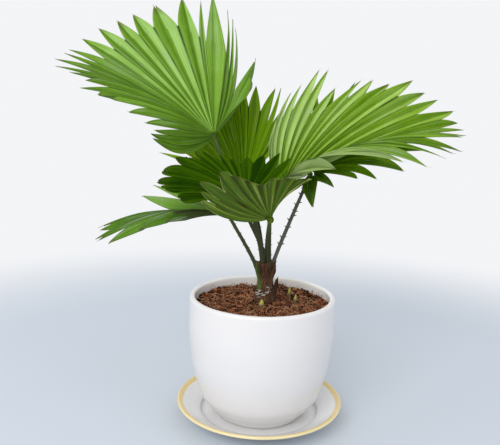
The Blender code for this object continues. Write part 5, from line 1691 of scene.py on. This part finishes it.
FRONDS = (
    Frond(
        node="frond_upper_left",
        tone=Tone.BRIGHT,
        foot=(0.0060, 0.0050, 0.160),
        rise=(0.0060, 0.0046, 0.173),
        lead=(-0.034, 0.010, 0.236),
        hub=(-0.0530, 0.0140, 0.2930),
        thorns=7,
        segments=27,
        tips=(
            (0, -0.056, -0.040, -0.002), (1, -0.059, -0.038, 0.002), (2, -0.056, -0.034, 0.005),
            (3, -0.066, -0.030, 0.011), (4, -0.082, -0.025, 0.022), (5, -0.098, -0.020, 0.033),
            (6, -0.114, -0.014, 0.037), (7, -0.133, -0.009, 0.043), (8, -0.129, -0.004, 0.052),
            (9, -0.145, 0.001, 0.058), (10, -0.162, 0.006, 0.064), (11, -0.163, 0.010, 0.072),
            (12, -0.154, 0.014, 0.078), (13, -0.149, 0.017, 0.082), (14, -0.138, 0.021, 0.094),
            (15, -0.122, 0.026, 0.104), (16, -0.104, 0.031, 0.112), (17, -0.089, 0.036, 0.120),
            (18, -0.067, 0.042, 0.130), (19, -0.039, 0.047, 0.140), (20, -0.020, 0.048, 0.136),
            (20.5, -0.018, 0.048, 0.131), (21, -0.007, 0.047, 0.144), (21.5, 0.009, 0.044, 0.130),
            (22, 0.010, 0.042, 0.126), (23, 0.014, 0.038, 0.117), (24, 0.018, 0.032, 0.108),
            (25, 0.039, 0.010, 0.076), (26, 0.037, 0.001, 0.052),
        ),
        joined=(
            (0, 0.9), (0.037, 0.9), (0.074, 0.75), (0.111, 0.57), (0.148, 0.71), (0.185, 0.74),
            (0.222, 0.91), (0.259, 0.88), (0.37, 0.74), (0.444, 0.8), (0.519, 0.81), (0.556, 0.81),
            (0.63, 0.84), (0.667, 0.82), (0.704, 0.79), (0.741, 0.7), (0.778, 0.66), (0.815, 0.62),
            (0.852, 0.56), (0.889, 0.55), (0.926, 0.47), (0.963, 0.93), (1, 0.93),
        ),
        arch=(
            (0, -0.24), (0.04, -0.14), (0.08, -0.03), (0.15, 0.05), (0.3, 0.09), (0.45, 0.06),
            (0.6, 0.03), (0.78, 0), (0.85, -0.14), (0.9, -0.22), (0.94, -0.1), (1, 0.05),
        ),
        bow=(-0.2, -0.3, 1),
        seed=3,
        light=(
            (0, 0.42), (0.04, 0.28), (0.15, 0.4), (0.27, 0.42), (0.35, 0.35), (0.46, 0.38),
            (0.53, 0.54), (0.78, 0.66), (0.83, 0.62), (0.88, 0.72), (0.93, 0.55), (1, 0.5),
        ),
        gleam=((0, 0.15), (0.5, 0.1), (0.54, 0.55), (0.75, 0.5), (0.8, 0.2), (1, 0.15)),
    ),
    Frond(
        node="frond_right",
        tone=Tone.YELLOW,
        foot=(0.0028, 0.0, 0.160),
        rise=(0.0028, 0.001, 0.190),
        lead=(0.0035, 0.003, 0.222),
        hub=(0.0158, 0.0060, 0.2407),
        segments=24,
        tips=(
            (0, -0.002, 0.008, 0.078), (1, 0.008, 0.016, 0.098), (2, 0.020, 0.024, 0.108),
            (3, 0.037, 0.031, 0.122), (4, 0.047, 0.036, 0.122), (5, 0.055, 0.040, 0.104),
            (6, 0.083, 0.045, 0.113), (7, 0.094, 0.046, 0.113), (8, 0.112, 0.046, 0.109),
            (9, 0.135, 0.044, 0.113), (10, 0.149, 0.040, 0.101), (11, 0.161, 0.035, 0.093),
            (12, 0.176, 0.029, 0.083), (13, 0.180, 0.022, 0.071), (14, 0.184, 0.015, 0.064),
            (15, 0.184, 0.008, 0.059), (16, 0.179, 0.002, 0.058), (17, 0.178, -0.005, 0.044),
            (18, 0.170, -0.011, 0.042), (19, 0.159, -0.016, 0.037), (20, 0.141, -0.021, 0.028),
            (21, 0.117, -0.023, 0.032), (22, 0.051, -0.026, 0.025), (23, 0.023, -0.022, 0.017),
        ),
        joined=(
            (0, 0.7), (0.042, 0.7), (0.125, 0.64), (0.167, 0.74), (0.208, 0.64), (0.25, 0.71),
            (0.333, 0.82), (0.375, 0.84), (0.417, 0.84), (0.458, 0.86), (0.5, 0.84), (0.542, 0.88),
            (0.583, 0.88), (0.708, 0.82), (0.75, 0.76), (0.792, 0.66), (0.833, 0.73), (0.875, 0.5),
            (0.917, 0.52), (0.963, 0.8), (1, 0.8),
        ),
        arch=(
            (0, 0.27), (0.1, 0.15), (0.2, 0.06), (0.5, 0.05), (0.65, 0.12), (0.8, 0.22),
            (0.88, 0.27), (1, 0.16),
        ),
        bow=(-0.8, -0.4, 0.9),
        seed=5,
        light=(
            (0, 0.65), (0.05, 0.9), (0.2, 0.76), (0.35, 0.67), (0.5, 0.56), (0.6, 0.46),
            (0.8, 0.28), (0.86, 0.6), (0.9, 0.3), (1, 0.45),
        ),
        gleam=((0, 0.35), (0.3, 0.38), (0.6, 0.35), (0.8, 0.2), (1, 0.15)),
        pale=((0, 0.8), (0.06, 0.6), (0.12, 0), (0.84, 0), (0.9, 0.9), (1, 1)),
        taper_power=((0, 1), (0.66, 1), (0.72, 1.2), (0.86, 1.4), (0.9, 1), (1, 1)),
    ),
    Frond(
        node="frond_right_behind",
        tone=Tone.SHADED,
        foot=(0.0091, 0.0, 0.160),
        rise=(0.0091, 0.0, 0.170),
        lead=(0.036, 0.020, 0.228),
        hub=(0.0470, 0.0340, 0.2545),
        worn=0.9,
        thorns=9,
        thorn_size=0.0021,
        segments=15,
        tips=(
            (0, -0.013, 0.028, 0.072), (2, 0.028, 0.046, 0.091), (4, 0.069, 0.050, 0.100),
            (6, 0.112, 0.042, 0.080), (8, 0.134, 0.026, 0.048), (9, 0.123, 0.016, 0.027),
            (10, 0.102, 0.008, 0.004), (11, 0.073, 0.004, -0.005), (12, 0.051, 0.002, -0.004),
            (13, 0.025, -0.004, -0.013), (14, 0.003, -0.017, -0.034),
        ),
        joined=(
            (0, 0.6), (0.067, 0.6), (0.5, 0.7), (0.667, 0.6), (0.733, 0.55), (0.8, 0.62),
            (0.867, 0.35), (0.933, 0.42), (1, 0.42),
        ),
        arch=((0, 0.03), (0.6, 0.08), (0.75, 0.16), (0.87, 0.12), (0.93, 0.25), (1, 0.42)),
        bow=(-0.3, -0.2, 1),
        seed=7,
        light=((0, 0.4), (0.6, 0.38), (0.75, 0.32), (1, 0.18)),
    ),
    Frond(
        node="frond_front",
        tone=Tone.OLIVE,
        foot=(0.00595, -0.00545, 0.160),
        rise=(0.00595, -0.00545, 0.172),
        lead=(0.0038, -0.036, 0.200),
        hub=(0.0038, -0.0500, 0.2207),
        stalk_radius=0.0020,
        segments=10,
        tips=(
            (0, -0.063, -0.016, 0.017), (1, -0.064, -0.010, 0.026), (2, -0.065, -0.004, 0.033),
            (3, -0.048, 0.004, 0.042), (4, -0.032, 0.009, 0.038), (5, -0.020, 0.014, 0.033),
            (6, -0.007, 0.018, 0.029), (7, 0.001, 0.019, 0.036), (8, 0.018, 0.014, 0.037),
            (9, 0.034, 0.008, 0.038),
        ),
        joined=(
            (0, 0.78), (0.1, 0.78), (0.2, 0.73), (0.3, 0.67), (0.4, 0.96), (0.6, 0.96),
            (0.7, 0.93), (0.8, 0.96), (0.95, 0.96), (1, 0.96),
        ),
        arch=((0, 0.13), (0.2, 0.1), (0.6, 0.05), (0.85, -0.02), (1, -0.17)),
        bow=(0.1, -0.8, -1),
        hub_radius=0.0042,
        hub_height=0.0024,
        fullness=1.0,
        seed=9,
        gleam=((0, 0.4), (1, 0.4)),
        light=((0, 0.5), (0.2, 0.3), (0.3, 0.15), (0.5, 0.15), (0.68, 0.4), (0.85, 0.25), (1, 0.7)),
        upper_side_away=True,
        taper_power=((0, 0.7), (1, 0.7)),
    ),
    Frond(
        node="frond_middle",
        tone=Tone.DEEP,
        foot=(-0.00035, -0.00545, 0.160),
        rise=(-0.00035, -0.00545, 0.173),
        lead=(-0.009, -0.017, 0.215),
        hub=(-0.0180, -0.0240, 0.2350),
        stalk_radius=0.0023,
        segments=14,
        tips=(
            (0, -0.066, 0.004, -0.002), (1, -0.082, 0.004, 0.007), (2, -0.088, 0.006, 0.014),
            (3, -0.083, 0.010, 0.024), (4, -0.072, 0.016, 0.037), (5, -0.060, 0.020, 0.037),
            (6, -0.054, 0.024, 0.042), (7, -0.041, 0.026, 0.041), (8, -0.028, 0.028, 0.040),
            (9, -0.015, 0.028, 0.035), (10, -0.001, 0.024, 0.039), (11, 0.015, 0.018, 0.042),
            (12, 0.030, 0.010, 0.045), (13, 0.041, 0.000, 0.042),
        ),
        joined=(
            (0, 0.9), (0.071, 0.9), (0.143, 0.87), (0.214, 0.84), (0.286, 0.8), (0.357, 0.96),
            (0.429, 0.78), (0.5, 0.95), (0.571, 0.74), (0.643, 0.88), (0.714, 0.84), (0.786, 0.8),
            (0.857, 0.75), (0.929, 0.7), (1, 0.75),
        ),
        arch=((0, 0.04), (0.5, 0.1), (0.8, 0), (1, -0.1)),
        bow=(-0.3, -0.3, 0.9),
        fullness=0.55,
        seed=13,
        light=((0, 0.2), (0.1, 0.12), (0.55, 0.08), (0.65, 0.2), (0.8, 0.08), (0.9, 0.12), (1, 0.35)),
        gleam=((0, 0.15), (1, 0.15)),
        taper_power=(
            (0, 0.4), (0.24, 0.4), (0.3, 0.8), (0.42, 0.8), (0.46, 0.5), (0.62, 0.5),
            (0.7, 1), (1, 1),
        ),
    ),
    Frond(
        node="frond_lower_left",
        tone=Tone.LOWER,
        foot=(-0.0022, 0.0, 0.1470),
        rise=(-0.0050, 0.0, 0.1650),
        lead=(-0.0265, 0.004, 0.195),
        hub=(-0.0363, 0.0060, 0.2125),
        fresh=1.0,
        thorns=6,
        segments=9,
        tips=(
            (0, -0.084, 0.038, 0.025), (1, -0.096, 0.030, 0.013), (2, -0.135, 0.018, -0.019),
            (3, -0.134, 0.010, -0.021), (4, -0.137, 0.002, -0.029), (5, -0.132, -0.006, -0.028),
            (6, -0.121, -0.016, -0.029), (7, -0.086, -0.028, -0.011), (8, -0.060, -0.036, -0.001),
        ),
        joined=(
            (0, 0.59), (0.111, 0.59), (0.222, 0.51), (0.333, 0.85), (0.444, 0.87), (0.556, 0.88),
            (0.667, 0.78), (0.778, 0.8), (0.889, 0.85), (1, 0.85),
        ),
        arch=((0, 0), (0.16, 0.04), (0.28, 0.08), (0.5, 0.11), (0.75, 0.14), (1, 0.05)),
        bow=(0, -0.2, 1),
        seed=15,
        light=((0, 0.75), (0.17, 0.75), (0.28, 0.3), (0.65, 0.25), (0.75, 0.35), (0.85, 0.25), (1, 0.05)),
        upper_side_away=True,
        clasps=True,
        folded=((0, 0), (0.45, 0.1), (0.62, 0.42), (1, 0.8)),
    ),
    Frond(
        node="frond_back",
        tone=Tone.SHADED,
        foot=(-0.0006, 0.0060, 0.160),
        rise=(-0.0010, 0.0070, 0.173),
        lead=(-0.002, 0.024, 0.212),
        hub=(-0.0232, 0.0400, 0.2370),
        segments=15,
        tips=(
            (0, -0.089, 0.006, 0.036), (1, -0.083, 0.014, 0.046), (2, -0.066, 0.022, 0.050),
            (5, -0.044, 0.036, 0.078), (7, -0.022, 0.042, 0.096), (9, -0.003, 0.045, 0.107),
            (10, 0.011, 0.043, 0.109), (11, 0.032, 0.034, 0.106), (12, 0.040, 0.027, 0.105),
            (13, 0.043, 0.020, 0.087), (14, 0.038, 0.014, 0.060),
        ),
        joined=(
            (0, 0.55), (0.067, 0.55), (0.133, 0.7), (0.233, 0.82), (0.367, 0.84), (0.667, 0.82),
            (0.733, 0.72), (0.8, 0.67), (0.867, 0.66), (0.967, 0.8), (1, 0.8),
        ),
        arch=((0, 0.03), (0.8, 0.03), (1, 0.12)),
        bow=(0.5, -0.4, 0.8),
        seed=17,
        light=(
            (0, 0.85), (0.12, 0.72), (0.3, 0.45), (0.55, 0.3), (0.65, 0.45), (0.85, 0.6),
            (0.93, 0.7), (1, 0.55),
        ),
    ),
)
SHOOTS = (
    Shoot("shoot_front", -0.0010, -0.0200, 0.1335, 0.0030, 0.0004),
    Shoot("shoot_right", 0.0283, 0.0120, 0.1390, 0.0019, 0.0010),
    Shoot("shoot_far_right", 0.0340, -0.0020, 0.1345, 0.0019, 0.0008),
)


# The studio


@dataclass
class Studio:
    """A pale floor that fades into a pale sky, a soft light, and the camera where the photo's stood."""

    sky: Colour = (0.90, 0.91, 0.93)
    sky_strength: float = 1.0
    floor: Colour = (0.585, 0.635, 0.70)
    floor_radius: float = 7.0
    floor_height: float = -0.0002
    floor_rings: int = 39
    floor_sides: int = 96
    fade: tuple[float, float] = (0.40, 0.85)
    camera: Point = (-0.0147, -0.6342, 0.3272)
    pitch: float = 0.1866
    roll: float = 0.0275
    focal_share: float = 637.3 / 500
    lamp_place: Point = (-0.60, -1.30, 0.92)
    lamp_aim: Point = (0, 0, 0.22)
    lamp_size: float = 1.1
    lamp_power: float = 13.5
    lamp_tint: Colour = (1.0, 0.985, 0.96)

    def aim(self) -> None:
        """Sets the camera: it looks along +Y, a little down, and is turned a little on its axis."""
        data = bpy.data.cameras.new("camera")
        data.sensor_width = 36.0
        data.lens = self.focal_share * data.sensor_width
        data.clip_start = 0.02
        camera = placed("camera", data)
        camera.matrix_world = (
            Matrix.Translation(self.camera)
            @ Matrix.Rotation(math.pi / 2 - self.pitch, 4, "X")
            @ Matrix.Rotation(self.roll, 4, "Z")
        )
        bpy.context.scene.camera = camera

    def light(self) -> None:
        """Adds the square soft light that faces the plant."""
        data = bpy.data.lights.new("key", "AREA")
        data.shape, data.size = "SQUARE", self.lamp_size
        data.energy, data.color = self.lamp_power, self.lamp_tint
        way = Vector(self.lamp_aim) - Vector(self.lamp_place)
        turn = way.to_track_quat("-Z", "Y").to_matrix().to_4x4()
        placed("key", data).matrix_world = Matrix.Translation(self.lamp_place) @ turn

    def ground(self) -> None:
        """The floor: a wide disc whose own colour gives way to the sky's, so that no horizon shows."""
        r = Recipe("pale_floor")
        fade = r.step(r.from_axis()[0], *self.fade)
        shade = tuple(0.95 * c for c in self.floor)
        pale = r.mix(0.25 * r.noise(r.place(), 9.0, 3.0), self.floor, shade)
        r.relief(r.noise(r.place(), 400.0), 0.0002, 0.15)
        material = r.done(r.mix(fade, pale, (0.0, 0.0, 0.0)), 0.6, Specular_IOR_Level=0.0,
                          Emission_Color=self.sky, Emission_Strength=self.sky_strength * fade)
        radii = np.linspace(0, 1, self.floor_rings + 1)[1:] ** 2 * self.floor_radius
        cos, sin, _ = circle(self.floor_sides)
        rings = stacked(radii[:, None] * cos, radii[:, None] * sin, self.floor_height).reshape(-1, 3)
        side = np.arange(self.floor_sides)
        middle = stacked(len(rings), side, (side + 1) % self.floor_sides)
        quads = grid_quads(self.floor_rings, self.floor_sides, wrap=True)[:, ::-1]
        mesh = bpy.data.meshes.new("floor")
        points = [*rings.tolist(), (0, 0, self.floor_height)]
        mesh.from_pydata(points, [], quads.tolist() + middle.tolist())
        mesh.materials.append(material)
        floor = placed("floor", mesh)

    def build(self) -> None:
        """Sets up the world, the floor, the light and the camera."""
        scene = bpy.context.scene
        scene.view_settings.view_transform = "Standard"
        world = bpy.data.worlds.new("sky")
        world.use_nodes = True
        background = world.node_tree.nodes["Background"]
        background.inputs["Color"].default_value = (*self.sky, 1.0)
        background.inputs["Strength"].default_value = self.sky_strength
        scene.world = world
        self.ground()
        self.light()
        self.aim()


def main() -> None:
    """Builds the palm, its pot and the studio."""
    logging.basicConfig(level=logging.INFO, format="%(message)s")
    pot = Pot()
    Saucer().build()
    pot.build()
    Soil(pot).build()
    Trunk().build()
    shoot = ShootFinish("young_shoot").build()
    for plant in SHOOTS:
        plant.build(shoot)
    leaves = {tone: tone.value.build() for tone in Tone}
    stalk = StalkFinish("leaf_stalk").build()
    for frond in FRONDS:
        frond.build(leaves[frond.tone], stalk)
    Studio().build()


if __name__ == "__main__":
    main()
